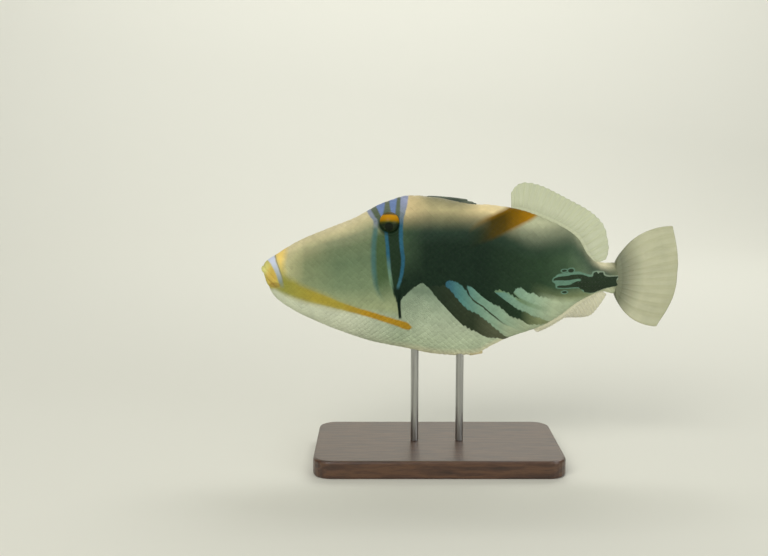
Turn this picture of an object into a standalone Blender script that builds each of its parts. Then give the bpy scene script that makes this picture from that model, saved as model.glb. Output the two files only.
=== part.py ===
"""A life-size lagoon triggerfish, swimming level, on a plain display stand.

Metres, +Z up. The head points along -X and the fish's left flank faces -Y.
The origin lies on the floor, under the middle of the fish's length.
Body places are given as millimetres behind the snout and above the level line,
the horizontal line at AXIS_HEIGHT that runs through the mouth.
"""

import math

import bmesh
import bpy
from mathutils import Matrix, Vector

MM = 0.001
TOTAL_LENGTH = 210.0  # snout to the hind edge of the tail fin
AXIS_HEIGHT = 95.0  # the level line above the floor
GAP = 0.3  # between touching pieces

# The trunk's outline: (behind the snout, above the level line)
BACK_LINE = (
    (0.0, 2.8),
    (2.1, 7.2),
    (6.4, 10.1),
    (20.7, 18.4),
    (44.5, 28.0),
    (62.3, 36.8),
    (74.2, 40.1),
    (84.0, 39.9),
    (103.0, 36.8),
    (126.0, 33.9),
    (138.5, 30.1),
    (151.2, 24.2),
    (158.9, 18.6),
    (163.9, 10.4),
    (168.0, 7.0),
    (173.0, 6.2),
    (178.0, 6.6),
)
BELLY_LINE = (
    (0.0, 2.8),
    (1.6, -0.8),
    (3.6, -6.6),
    (5.4, -10.0),
    (14.2, -16.9),
    (25.4, -22.7),
    (38.0, -27.9),
    (54.4, -33.5),
    (72.1, -37.2),
    (89.9, -40.7),
    (98.7, -41.2),
    (108.0, -40.3),
    (115.0, -36.8),
    (126.0, -31.4),
    (141.4, -26.0),
    (150.9, -20.3),
    (159.5, -13.6),
    (166.0, -10.2),
    (171.5, -8.2),
    (178.0, -9.6),
)
# Half the trunk's width along its length: (behind the snout, half width)
HALF_WIDTHS = (
    (0.0, 0.6),
    (2.0, 3.6),
    (6.0, 5.2),
    (20.0, 8.4),
    (45.0, 12.0),
    (65.0, 14.2),
    (85.0, 15.2),
    (105.0, 14.4),
    (125.0, 12.0),
    (145.0, 8.8),
    (158.0, 6.2),
    (168.0, 4.4),
    (178.0, 2.3),
)
# How sharply the section closes below: 1 is an ellipse, more is a thinner keel
KEEL_SHARPNESS = ((0.0, 1.0), (30.0, 1.0), (70.0, 1.15), (105.0, 1.45), (130.0, 1.2), (178.0, 1.0))
BACK_SHARPNESS = ((0.0, 1.0), (60.0, 0.96), (85.0, 1.05), (130.0, 1.15), (178.0, 1.0))
RING_SIDES = 32
TRUNK_STEP = 3.5
LEAST_STEP = 0.4  # between two sections of the trunk
SNOUT_STOPS = (2, 12)  # first and last count of the sections where the snout rounds off
SNOUT_STOP_SCALE = 0.1
NEARLY_PARALLEL = 0.1

# Where the trunk is parted
NOSE_START = 0.05
HEAD_END = 72.0
TORSO_END = 164.5
STALK_END = 177.5

# The head's features, on each side
EYE_BEHIND = 64.3
EYE_ABOVE = 27.1
EYE_RADIUS = 5.6
EYE_STANDS_OUT = 2.1
BALL_SIDES = (20, 12)
ORBIT_BULGE = 1.1
ORBIT_BULGE_REACH = 7.0
RIM_RADIUS = 5.3
RIM_THICKNESS = 0.85
RIM_DEPTH = 0.25  # of the ring's middle line under the skin
RIM_SIDES = (20, 6)  # round the eye and round its section
RIM_SLOPE_REACH = 4.0  # how far to each side the skin's slope is read
NOSTRILS = ((57.1, 28.0), (58.1, 30.2))
NOSTRIL_RADIUS = 0.45
NOSTRIL_DEPTH = 1.0
NOSTRIL_SIDES = 10
CUTTER_CLEARANCE = 1.5  # of a cutter above the skin
GILL_SLIT = ((68.7, -9.1), (69.5, -20.4))  # its upper and lower end
GILL_SLIT_WIDTH = 0.8
GILL_SLIT_DEPTH = 1.3
GILL_SLIT_STEPS = 8
GILL_SLIT_LEAST = 0.2  # share of its depth at its two ends

# The mouth: a slanting line from the front of the snout to its corner
MOUTH_FRONT = (0.9, 0.9)
MOUTH_CORNER = (7.3, -5.9)
CHIN_CUT = (9.6, -14.4)
JAW_REACH = 22.0  # of the slab that parts the jaw from the head
JAW_FRONT = -9.0
LIP_OFFSET = 1.25  # from the mouth line to the middle of each lip
LIP_HALF_HEIGHT = 1.05
LIP_STANDS_OUT = 0.5
LIP_SINKS = 0.3  # of its edges and ends under the skin
LIP_STEPS = 7
LIP_SEARCH_STEP = 0.02  # on the way to where a level of the lip meets the snout
LIP_LEVELS = (-1.0, -0.7, 0.0, 0.7, 1.0)

# The folded first dorsal fin: start, end and radii of each spine
SPINES = (
    ((82.6, 38.9), (103.2, 37.7), 1.15, 0.5),
    ((86.2, 37.7), (106.2, 36.5), 0.95, 0.45),
    ((91.0, 36.7), (107.6, 35.9), 0.8, 0.4),
)
SPINE_GROOVE = (81.0, 111.5)
SPINE_GROOVE_WIDTH = 3.2
SPINE_GROOVE_DEPTH = 1.7
SPINE_GROOVE_STEPS = 10
SPINE_GROOVE_FULLNESS = 0.4  # under 1 its floor drops and rises more steeply
SPINE_GROOVE_FLOOR = 0.7  # its width there, as a share of that at the top
SPINE_CUTTER_HEIGHT = 3.0  # above the back
SPINE_ARCH = 0.35
SPINE_STEPS = 5
SPINE_SIDES = 8
SPINE_ROOM = 6.0  # of body that a folded spine is cut clear of, past each end of the groove

# Fins: membrane, ray and root are thicknesses
MEMBRANE = 0.5
RAY = 0.95
SHEATH = 1.7
TIP = 0.34
ROOT_SINKS = 0.7  # before a fin is cut to the body
THINS_FROM = 0.72  # share of a ray's length where the fin starts to thin out
SCALLOP_FROM = 0.97  # where a ray's tip stands out again
SCALLOP = 0.06
SHEATH_REACH = 0.22

DORSAL_RAYS = 24
DORSAL_BASE = (125.1, 168.6)
DORSAL_LENGTHS = (
    (0.0, 8.0),
    (0.045, 11.2),
    (0.09, 13.3),
    (0.14, 14.8),
    (0.25, 15.6),
    (0.5, 14.8),
    (0.65, 15.2),
    (0.8, 14.8),
    (0.9, 12.0),
    (1.0, 5.0),
)
DORSAL_SWEEP = ((0.0, -2.0), (0.08, -1.0), (0.2, 14.0), (0.5, 38.0), (0.65, 49.0), (0.9, 63.0), (1.0, 70.0))
DORSAL_LEAN = ((0.0, 4.0), (0.35, 20.0), (0.7, 10.0), (1.0, 18.0))

ANAL_RAYS = 22
ANAL_BASE = (137.0, 171.0)
ANAL_LENGTHS = (
    (0.0, 3.0),
    (0.04, 7.5),
    (0.1, 11.5),
    (0.2, 13.5),
    (0.4, 14.2),
    (0.65, 14.5),
    (0.85, 9.8),
    (1.0, 4.0),
)
ANAL_SWEEP = ((0.0, 30.0), (0.35, 42.0), (0.65, 36.0), (0.85, 32.0), (1.0, 50.0))
ANAL_LEAN = ((0.0, 84.0), (0.35, 80.0), (0.65, 42.0), (0.85, 32.0), (1.0, 30.0))
LEAN_STARTS_AT = 0.8
LEAN_FULL_AT = 4.5
MEDIAN_FIN_ROWS = 7
MEDIAN_FIN_SLICES = 12  # of a ray, when its lean is summed up
MEDIAN_FIN_ROOM = 14.0  # of body ahead of its base that it is cut clear of
SWEEP_AT_ROOT = 0.3  # how far a ray is swept already at its root
SWEEP_RISE = 3.0

TAIL_RAYS = 12
TAIL_ROOT = ((STALK_END + GAP, 5.9), (STALK_END + GAP, -9.2))  # upper and lower end of its base
TAIL_ROOT_THICKNESS = 4.0
TAIL_TIPS = (
    (205.6, 24.9),
    (207.6, 17.5),
    (208.8, 10.5),
    (209.5, 4.0),
    (209.3, -3.0),
    (208.3, -10.5),
    (205.9, -18.4),
    (201.0, -27.2),
)
TAIL_FLARE = 0.16  # how far the outer rays bow outwards, as a share of their length
TAIL_FLARE_POWER = 0.8  # under 1 the bow is fuller at both ends
TAIL_ROWS = 9
TAIL_UPPER_CURL = -2.0
TAIL_LOWER_CURL = 5.0
TAIL_CURL_POWER = 1.6
TAIL_RIPPLE = 0.5
TAIL_RIPPLES = 2.5
TAIL_RIPPLE_POWER = 1.5
TAIL_FLESH_REACH = 0.3

PECTORAL_RAYS = 13
PECTORAL_ROOT = ((71.3, -12.6), (71.9, -19.0))
PECTORAL_LENGTH = 14.0
PECTORAL_ANGLES = (34.0, -52.0)  # its upper and lower ray, above the level
PECTORAL_SPREAD = 24.0  # degrees away from the fish's length
PECTORAL_CLEARANCE = 0.75  # of its middle surface from the flank
PECTORAL_ROWS = 5
PECTORAL_SHORTEST = 0.7  # its first ray, as a share of its longest
PECTORAL_FULL_AT = 1.2  # over 1 the longest ray lies above the middle
PECTORAL_RAY_SHARE = 0.85  # of the other fins' rays
PECTORAL_THINS_FROM = 0.75

PELVIC_SPINE = ((104.8, -40.2), (111.6, -39.6))
PELVIC_SPINE_RADIUS = 1.3
PELVIC_SPINE_STEPS = 6
PELVIC_SPINE_SIDES = 10
PELVIC_SPINE_TAPER = 0.35
PELVIC_SPINE_KNOBS = 0.1
PELVIC_SPINE_TIP = 0.55
PELVIC_SLOT_OVERRUN = 4.0
PELVIC_SLOT_SIDES = 12

# The stand
BASE_SIZE = (124.0, 72.0, 9.0)
BASE_CENTRE_X = -16.0
BASE_CORNER = 9.0
BASE_CORNER_STEPS = 6
BASE_EDGE = 1.2
BASE_EDGE_SEGMENTS = 2
BASE_EDGE_ANGLE = 50.0  # sharper edges than this are rounded
ROD_RADIUS = 2.0
ROD_SIDES = 20
ROD_OVERRUN = 3.0  # into the body, before its top is cut to the keel
ROD_ROOM = 9.0  # of body before and behind it that it is cut clear of
RODS = (("stand_rod_front", 77.0), ("stand_rod_rear", 100.0))

MATERIALS = {
    "skin": ((0.44, 0.43, 0.27), 0.42),
    "fin": ((0.62, 0.60, 0.44), 0.5),
    "spine": ((0.06, 0.07, 0.06), 0.5),
    "eye": ((0.55, 0.33, 0.02), 0.12),
    "stand_wood": ((0.10, 0.055, 0.03), 0.45),
    "stand_metal": ((0.60, 0.60, 0.58), 0.28),
}
METALS = {"stand_metal"}


def clear_scene():
    for found in list(bpy.data.objects):
        bpy.data.objects.remove(found)


def curve_through(points, rooted=False):
    """A smooth curve through (place, value) points that never overshoots them.

    A rooted one is smooth in the square root of the place, which rounds a nose.
    """
    warp = math.sqrt if rooted else float
    places = [warp(p[0]) for p in points]
    values = [p[1] for p in points]
    count = len(points)
    steps = [places[i + 1] - places[i] for i in range(count - 1)]
    slopes = [(values[i + 1] - values[i]) / steps[i] for i in range(count - 1)]
    tangents = [slopes[0]]
    for i in range(1, count - 1):
        before, after = slopes[i - 1], slopes[i]
        if before * after <= 0:
            tangents.append(0.0)
            continue
        near = 2 * steps[i] + steps[i - 1]
        far = steps[i] + 2 * steps[i - 1]
        tangents.append((near + far) / (near / before + far / after))
    tangents.append(slopes[-1])

    def value(place):
        place = min(max(warp(max(place, 0.0)), places[0]), places[-1])
        i = max(j for j in range(count - 1) if places[j] <= place)
        t = (place - places[i]) / steps[i]
        return (
            (2 * t**3 - 3 * t**2 + 1) * values[i]
            + (t**3 - 2 * t**2 + t) * steps[i] * tangents[i]
            + (3 * t**2 - 2 * t**3) * values[i + 1]
            + (t**3 - t**2) * steps[i] * tangents[i + 1]
        )

    return value


back_line = curve_through(BACK_LINE, rooted=True)
belly_line = curve_through(BELLY_LINE, rooted=True)
half_width = curve_through(HALF_WIDTHS, rooted=True)
keel_sharpness = curve_through(KEEL_SHARPNESS)
back_sharpness = curve_through(BACK_SHARPNESS)


def place(behind, above, out=0.0):
    """A point of the fish in metres. out is along +Y, the fish's right."""
    return Vector((behind + LIP_STANDS_OUT - TOTAL_LENGTH / 2, out, above + AXIS_HEIGHT)) * MM


def smooth_step(value):
    value = min(max(value, 0.0), 1.0)
    return value * value * (3 - 2 * value)


def section(behind, grow=0.0):
    """Top, bottom and greatest half width of the trunk there."""
    return (
        back_line(behind) + grow,
        belly_line(behind) - grow,
        half_width(behind) + grow,
    )


def flank(behind, above, grow=0.0):
    """Half the trunk's width at that height, without the bulge at the eye."""
    top, bottom, wide = section(behind, grow)
    middle = (top + bottom) / 2
    reach = (above - middle) / ((top - bottom) / 2)
    sharpness = back_sharpness(behind) if reach > 0 else keel_sharpness(behind)
    return wide * max(1 - reach * reach, 0.0) ** (sharpness / 2)


def eye_bulge(behind, above):
    distance = math.hypot(behind - EYE_BEHIND, above - EYE_ABOVE)
    return ORBIT_BULGE * math.exp(-((distance / ORBIT_BULGE_REACH) ** 2))


def ring(behind, grow=0.0):
    """The trunk's cross-section as points, from the back down the right side."""
    top, bottom, wide = section(behind, grow)
    middle = (top + bottom) / 2
    half = (top - bottom) / 2
    points = []
    for k in range(RING_SIDES):
        turn = 2 * math.pi * k / RING_SIDES
        above = middle + half * math.cos(turn)
        sharpness = back_sharpness(behind) if math.cos(turn) > 0 else keel_sharpness(behind)
        side = abs(math.sin(turn)) ** sharpness
        out = wide * side + eye_bulge(behind, above) * min(1.0, 2 * side)
        if k in (0, RING_SIDES // 2):
            out = 0.0
        points.append(place(behind, above, math.copysign(out, math.sin(turn))))
    return points


def new_object(name, mesh_tool, material=None):
    mesh = bpy.data.meshes.new(name)
    bmesh.ops.recalc_face_normals(mesh_tool, faces=mesh_tool.faces)
    mesh_tool.to_mesh(mesh)
    mesh_tool.free()
    made = bpy.data.objects.new(name, mesh)
    bpy.context.scene.collection.objects.link(made)
    if material:
        mesh.materials.append(bpy.data.materials[material])
    return made


def loft(name, rings, material=None):
    """A closed body through rings of equal size, with flat ends."""
    tool = bmesh.new()
    rows = [[tool.verts.new(point) for point in points] for points in rings]
    count = len(rows[0])
    for row, following in zip(rows, rows[1:]):
        for k in range(count):
            after = (k + 1) % count
            tool.faces.new((row[k], row[after], following[after], following[k]))
    tool.faces.new(rows[0])
    tool.faces.new(rows[-1])
    ends = [face for face in tool.faces if len(face.verts) > 4]
    bmesh.ops.triangulate(tool, faces=ends)
    return new_object(name, tool, material)


def trunk(name, start, end, grow=0.0, extra=(), material="skin"):
    """The stretch of the trunk between two places behind the snout.

    Its sections lie at multiples of one step, so that grown copies have like facets.
    """
    lattice = [TRUNK_STEP * i for i in range(int(end / TRUNK_STEP) + 1)]
    inner = [stop for stop in (*lattice, *extra) if start + LEAST_STEP < stop < end - LEAST_STEP]
    return loft(name, [ring(stop, grow) for stop in sorted({start, end, *inner})], material)


def tube(name, path, radii, sides, material=None):
    """A closed tube with round sections at right angles to its path."""
    rings = []
    for i, point in enumerate(path):
        before = path[max(i - 1, 0)]
        after = path[min(i + 1, len(path) - 1)]
        along = (after - before).normalized()
        across = along.cross(Vector((0, 1, 0)))
        if across.length < NEARLY_PARALLEL:
            across = along.cross(Vector((0, 0, 1)))
        across.normalize()
        third = along.cross(across)
        turns = [2 * math.pi * k / sides for k in range(sides)]
        rings.append(
            [point + radii[i] * (math.cos(t) * across + math.sin(t) * third) for t in turns]
        )
    return loft(name, rings, material)


def prism(name, outline, half_thickness):
    """A profile outline, (behind, above) points, as a slab across the mid-plane."""
    rings = [
        [place(behind, above, side * half_thickness) for behind, above in outline]
        for side in (-1, 1)
    ]
    return loft(name, rings)


def ball(name, centre, radius, segments, rings, material=None):
    tool = bmesh.new()
    bmesh.ops.create_uvsphere(tool, u_segments=segments, v_segments=rings, radius=radius)
    quarter_turn = Matrix.Rotation(math.pi / 2, 4, "X")
    bmesh.ops.transform(tool, matrix=Matrix.Translation(centre) @ quarter_turn, verts=tool.verts)
    made = new_object(name, tool, material)
    made.data.shade_smooth()
    return made


def keep_largest(made):
    """Drops every closed surface but the largest."""
    tool = bmesh.new()
    tool.from_mesh(made.data)
    unseen = set(tool.verts)
    islands = []
    while unseen:
        island = {unseen.pop()}
        edge_of_search = list(island)
        while edge_of_search:
            vertex = edge_of_search.pop()
            for edge in vertex.link_edges:
                other = edge.other_vert(vertex)
                if other in unseen:
                    unseen.discard(other)
                    island.add(other)
                    edge_of_search.append(other)
        islands.append(island)
    largest = max(islands, key=len)
    loose = [vertex for island in islands if island is not largest for vertex in island]
    bmesh.ops.delete(tool, geom=loose, context="VERTS")
    tool.to_mesh(made.data)
    tool.free()


def combine(made, others, operation):
    """One applied Boolean of an object with a collection of others, which go."""
    group = bpy.data.collections.new("tools_of_" + made.name)
    bpy.context.scene.collection.children.link(group)
    for other in others:
        bpy.context.scene.collection.objects.unlink(other)
        group.objects.link(other)
    boolean = made.modifiers.new("combine", "BOOLEAN")
    boolean.operation = operation
    boolean.operand_type = "COLLECTION"
    boolean.collection = group
    boolean.solver = "EXACT"
    bpy.context.view_layer.update()
    graph = bpy.context.evaluated_depsgraph_get()
    result = bpy.data.meshes.new_from_object(made.evaluated_get(graph))
    made.modifiers.clear()
    made.data = result
    for other in list(group.objects):
        bpy.data.objects.remove(other)
    bpy.data.collections.remove(group)
    keep_largest(made)
    return made


def eye_centre(side):
    out = flank(EYE_BEHIND, EYE_ABOVE) + ORBIT_BULGE + EYE_STANDS_OUT - EYE_RADIUS
    return place(EYE_BEHIND, EYE_ABOVE, side * out)


def make_eye(name, side):
    return ball(name, eye_centre(side), EYE_RADIUS * MM, *BALL_SIDES, "eye")


def orbit_rim(side):
    """The low ring of skin round an eye."""
    behind_step, above_step = Vector((1, 0, 0)), Vector((0, 0, 1))
    out = flank(EYE_BEHIND, EYE_ABOVE) + eye_bulge(EYE_BEHIND, EYE_ABOVE)
    reach = RIM_SLOPE_REACH
    ahead = flank(EYE_BEHIND - reach, EYE_ABOVE) - flank(EYE_BEHIND + reach, EYE_ABOVE)
    lower = flank(EYE_BEHIND, EYE_ABOVE - reach) - flank(EYE_BEHIND, EYE_ABOVE + reach)
    outward = Vector((ahead / (2 * reach), side, lower / (2 * reach))).normalized()
    middle = place(EYE_BEHIND, EYE_ABOVE, side * out) - RIM_DEPTH * MM * outward
    behind_step = (behind_step - outward * behind_step.dot(outward)).normalized()
    above_step = outward.cross(behind_step)
    sides, around = RIM_SIDES
    tool = bmesh.new()
    rows = []
    for i in range(sides):
        turn = 2 * math.pi * i / sides
        away = math.cos(turn) * behind_step + math.sin(turn) * above_step
        centre = middle + RIM_RADIUS * MM * away
        turns = [2 * math.pi * (k + 0.5) / around for k in range(around)]
        radius = RIM_THICKNESS * MM
        rows.append(
            [
                tool.verts.new(centre + radius * (math.cos(t) * away + math.sin(t) * outward))
                for t in turns
            ]
        )
    for i in range(sides):
        row, following = rows[i], rows[(i + 1) % sides]
        for k in range(around):
            after = (k + 1) % around
            tool.faces.new((row[k], row[after], following[after], following[k]))
    return new_object("rim", tool)


def mouth_height(behind):
    """The mouth line's height there."""
    share = (behind - MOUTH_FRONT[0]) / (MOUTH_CORNER[0] - MOUTH_FRONT[0])
    return MOUTH_FRONT[1] + (MOUTH_CORNER[1] - MOUTH_FRONT[1]) * share


def lip_layer(offset, stands):
    """One level of a lip: a U round the snout, standing out from its skin.

    It runs parallel to the mouth line, that far above it, and joins the cheeks at its ends.
    """
    front = NOSE_START
    while not belly_line(front) < mouth_height(front) + offset < back_line(front):
        front += LIP_SEARCH_STEP
    plan = []
    for i in range(-LIP_STEPS, LIP_STEPS + 1):
        share = i / LIP_STEPS
        behind = front + (MOUTH_CORNER[0] - front) * share**2
        out = flank(behind, mouth_height(behind) + offset)
        plan.append(Vector((behind, math.copysign(out, share) if i else 0.0)))
    points = []
    for i, spot in enumerate(plan):
        share = abs(i - LIP_STEPS) / LIP_STEPS
        along = plan[min(i + 1, len(plan) - 1)] - plan[max(i - 1, 0)]
        outward = Vector((-along.y, along.x)).normalized()
        grown = spot + outward * (stands * (1 - share**2) - LIP_SINKS * share)
        points.append(place(grown.x, mouth_height(spot.x) + offset, grown.y))
    return points


def lip(offset):
    """A lip as a stack of levels, fullest in the middle."""
    layers = []
    for level in LIP_LEVELS:
        stands = LIP_STANDS_OUT * (1 - level**2) - LIP_SINKS * level**2
        layers.append(lip_layer(offset + level * LIP_HALF_HEIGHT, stands))
    return loft("lip", layers)


def jaw_region(name, grow):
    """The slab that holds the lower jaw: below the mouth line, before the chin cut."""
    corner = Vector(MOUTH_CORNER)
    to_front = (Vector(MOUTH_FRONT) - corner).normalized()
    to_chin = (Vector(CHIN_CUT) - corner).normalized()
    opening = to_front.angle(to_chin)
    into = (to_front + to_chin).normalized()
    corner = corner - into * (grow / math.sin(opening / 2))
    outline = (
        corner,
        corner + to_chin * JAW_REACH,
        Vector((JAW_FRONT, corner.y - JAW_REACH)),
        corner + to_front * JAW_REACH,
    )
    return prism(name, outline, JAW_REACH)


def peg(name, behind, above, side, radius, depth, sides=NOSTRIL_SIDES):
    """A short round cutter across the head's surface."""
    out = flank(behind, above) + eye_bulge(behind, above)
    path = [
        place(behind, above, side * (out + CUTTER_CLEARANCE)),
        place(behind, above, side * (out - depth)),
    ]
    return tube(name, path, [radius * MM] * 2, sides)


def gill_cutter(side):
    """A thin curved slot that follows the cheek."""
    rings = []
    for i in range(GILL_SLIT_STEPS + 1):
        t = i / GILL_SLIT_STEPS
        behind = GILL_SLIT[0][0] + (GILL_SLIT[1][0] - GILL_SLIT[0][0]) * t
        above = GILL_SLIT[0][1] + (GILL_SLIT[1][1] - GILL_SLIT[0][1]) * t
        out = flank(behind, above)
        depth = GILL_SLIT_DEPTH * max(math.sqrt(max(math.sin(math.pi * t), 0.0)), GILL_SLIT_LEAST)
        half = GILL_SLIT_WIDTH / 2
        rings.append(
            [
                place(behind - half, above, side * (out + CUTTER_CLEARANCE)),
                place(behind + half, above, side * (out + CUTTER_CLEARANCE)),
                place(behind + half, above, side * (out - depth)),
                place(behind - half, above, side * (out - depth)),
            ]
        )
    return loft("gill_cutter", rings)


def snout_stops():
    """Closer sections where the snout rounds off."""
    return [SNOUT_STOP_SCALE * step**2 for step in range(*SNOUT_STOPS)]


def make_head():
    """The head and the lower jaw, parted by a thin cut along the mouth."""
    snout = trunk("head", NOSE_START, HEAD_END - GAP / 2, extra=snout_stops())
    combine(snout, [lip(LIP_OFFSET), lip(-LIP_OFFSET)], "UNION")
    jaw = snout.copy()
    jaw.data = snout.data.copy()
    jaw.name = "lower_jaw"
    bpy.context.scene.collection.objects.link(jaw)
    combine(jaw, [jaw_region("jaw_keeper", 0.0)], "INTERSECT")
    combine(snout, [jaw_region("jaw_cutter", GAP)], "DIFFERENCE")
    combine(snout, [orbit_rim(-1), orbit_rim(1)], "UNION")
    cutters = []
    for side in (-1, 1):
        cutters.append(ball("socket", eye_centre(side), (EYE_RADIUS + GAP) * MM, *BALL_SIDES))
        cutters.append(gill_cutter(side))
        for behind, above in NOSTRILS:
            cutters.append(
                peg("nostril", behind, above, side, NOSTRIL_RADIUS, NOSTRIL_DEPTH)
            )
    combine(snout, cutters, "DIFFERENCE")
    return snout, jaw


def spine_groove():
    """The slot in the back that the folded first dorsal fin lies in."""
    start, end = SPINE_GROOVE
    half = SPINE_GROOVE_WIDTH / 2
    rings = []
    for i in range(SPINE_GROOVE_STEPS + 1):
        share = i / SPINE_GROOVE_STEPS
        stop = start + (end - start) * share
        fullness = math.sin(math.pi * share) ** SPINE_GROOVE_FULLNESS
        floor = back_line(stop) - SPINE_GROOVE_DEPTH * fullness
        lip_height = back_line(stop) + SPINE_CUTTER_HEIGHT
        rings.append(
            [
                place(stop, lip_height, -half),
                place(stop, lip_height, half),
                place(stop, floor, half * SPINE_GROOVE_FLOOR),
                place(stop, floor, -half * SPINE_GROOVE_FLOOR),
            ]
        )
    return loft("groove", rings)


def pelvic_slot():
    """Room in the keel for the root of the pelvic spine."""
    (start_behind, start_above), (end_behind, end_above) = PELVIC_SPINE
    path = [
        place(start_behind - GAP, start_above),
        place(end_behind + PELVIC_SLOT_OVERRUN, end_above),
    ]
    return tube("pelvic_slot", path, [(PELVIC_SPINE_RADIUS + GAP) * MM] * 2, PELVIC_SLOT_SIDES)


def make_torso():
    torso = trunk("torso", HEAD_END + GAP / 2, TORSO_END - GAP / 2)
    return combine(torso, [spine_groove(), pelvic_slot()], "DIFFERENCE")


def make_spine_fin():
    """Three stout spines folded back in their groove, each sunk into the one before."""
    pieces = []
    for (start, end, thick, thin) in SPINES:
        path = []
        radii = []
        for i in range(SPINE_STEPS + 1):
            t = i / SPINE_STEPS
            behind = start[0] + (end[0] - start[0]) * t
            arch = SPINE_ARCH * math.sin(math.pi * t)
            above = start[1] + (end[1] - start[1]) * t + arch
            path.append(place(behind, above))
            radii.append((thick + (thin - thick) * t) * MM)
        pieces.append(tube("spine", path, radii, SPINE_SIDES))
    first = pieces.pop(0)
    first.name = "dorsal_spines"
    first.data.materials.append(bpy.data.materials["spine"])
    combine(first, pieces, "UNION")
    start, end = SPINE_GROOVE
    room = trunk("room", start - SPINE_ROOM, end + SPINE_ROOM, GAP)
    combine(room, [spine_groove()], "DIFFERENCE")
    return first, room


def fin(name, rays, steps, sheet, thickness, material="fin"):
    """A thin fin as one closed body, with each ray a ridge on both faces.

    sheet(across, along) is a point of its middle surface, both from 0 to 1.
    thickness(across, along, on_ray) is its full thickness there.
    Both faces are split into triangles alike.
    """
    columns = 2 * (rays - 1) + 1
    tool = bmesh.new()
    faces = []
    small = 1e-3
    for side in (-1, 1):
        grid = []
        for i in range(columns):
            across = i / (columns - 1)
            line = []
            for j in range(steps + 1):
                along = j / steps
                point = sheet(across, along)
                if across < 1:
                    wide = sheet(across + small, along) - point
                else:
                    wide = point - sheet(across - small, along)
                if along < 1:
                    long = sheet(across, along + small) - point
                else:
                    long = point - sheet(across, along - small)
                normal = wide.cross(long).normalized()
                half = thickness(across, along, i % 2 == 0) * MM / 2
                line.append(tool.verts.new(point + side * half * normal))
            grid.append(line)
        faces.append(grid)
    for grid, flip in zip(faces, (False, True)):
        for i in range(columns - 1):
            for j in range(steps):
                corners = (grid[i][j], grid[i + 1][j], grid[i + 1][j + 1], grid[i][j + 1])
                halves = (
                    (corners[0], corners[1], corners[2]),
                    (corners[0], corners[2], corners[3]),
                )
                for half in halves:
                    tool.faces.new(half[::-1] if flip else half)
    front, back = faces
    border = [(i, 0) for i in range(columns)]
    border += [(columns - 1, j) for j in range(1, steps + 1)]
    border += [(i, steps) for i in range(columns - 2, -1, -1)]
    border += [(0, j) for j in range(steps - 1, 0, -1)]
    for (i, j), (k, m) in zip(border, border[1:] + border[:1]):
        tool.faces.new((front[i][j], front[k][m], back[k][m]))
        tool.faces.new((front[i][j], back[k][m], back[i][j]))
    return new_object(name, tool, material)


def fin_thickness(across, along, on_ray):
    """Thick in the sheath at the root, thin at the margin, thicker on each ray."""
    body = RAY if on_ray else MEMBRANE
    body = body + (TIP - body) * smooth_step((along - THINS_FROM) / (1 - THINS_FROM))
    if on_ray and along > SCALLOP_FROM:
        body += SCALLOP
    sheath = smooth_step(1 - along / SHEATH_REACH)
    return body + (SHEATH - body) * sheath


def median_fin(name, rays, base, root_line, up, lengths, sweep, lean):
    """A fin on the back (up is 1) or the belly (up is -1), leaning to the right."""
    length_at = curve_through(lengths)
    sweep_at = curve_through(sweep)
    lean_at = curve_through(lean)

    def sheet(across, along):
        behind = base[0] + (base[1] - base[0]) * across
        reach = length_at(across) * along
        rise, out = 0.0, 0.0
        for part in range(MEDIAN_FIN_SLICES):
            here = reach * (part + 0.5) / MEDIAN_FIN_SLICES
            bent = smooth_step((here - LEAN_STARTS_AT) / (LEAN_FULL_AT - LEAN_STARTS_AT))
            tilt = math.radians(lean_at(across)) * bent
            rise += math.cos(tilt) * reach / MEDIAN_FIN_SLICES
            out += math.sin(tilt) * reach / MEDIAN_FIN_SLICES
        swept = math.radians(sweep_at(across)) * smooth_step(SWEEP_AT_ROOT + along * SWEEP_RISE)
        ground = root_line(behind) - up * ROOT_SINKS
        return place(behind + rise * math.sin(swept), ground + up * rise * math.cos(swept), out)

    made = fin(name, rays, MEDIAN_FIN_ROWS, sheet, fin_thickness)
    room = trunk("room", base[0] - MEDIAN_FIN_ROOM, STALK_END, GAP)
    return combine(made, [room], "DIFFERENCE")


def make_tail_fin():
    """A fan of rays, its lower lobe swung a little to the right."""
    tips = TAIL_TIPS
    tip_behind = curve_through([(i / (len(tips) - 1), tip[0]) for i, tip in enumerate(tips)])
    tip_above = curve_through([(i / (len(tips) - 1), tip[1]) for i, tip in enumerate(tips)])

    def sheet(across, along):
        root = Vector(TAIL_ROOT[0]).lerp(Vector(TAIL_ROOT[1]), across)
        tip = Vector((tip_behind(across), tip_above(across)))
        ray = tip - root
        sideways = Vector((-ray.y, ray.x)).normalized()
        outwards = 1 - 2 * across
        fullness = max(math.sin(math.pi * along), 0.0) ** TAIL_FLARE_POWER
        bow = TAIL_FLARE * ray.length * outwards * abs(outwards) * fullness
        point = root + ray * along + sideways * bow
        curl = TAIL_UPPER_CURL if across < 0.5 else TAIL_LOWER_CURL
        swing = curl * smooth_step(abs(outwards)) * along**TAIL_CURL_POWER
        wave = math.sin(2 * math.pi * TAIL_RIPPLES * across)
        ripple = TAIL_RIPPLE * wave * along**TAIL_RIPPLE_POWER
        return place(point.x, point.y, swing + ripple)

    def thickness(across, along, on_ray):
        body = fin_thickness(across, along, on_ray)
        fleshy = smooth_step(1 - along / TAIL_FLESH_REACH)
        return body + (TAIL_ROOT_THICKNESS - SHEATH) * fleshy

    return fin("tail_fin", TAIL_RAYS, TAIL_ROWS, sheet, thickness)


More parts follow.
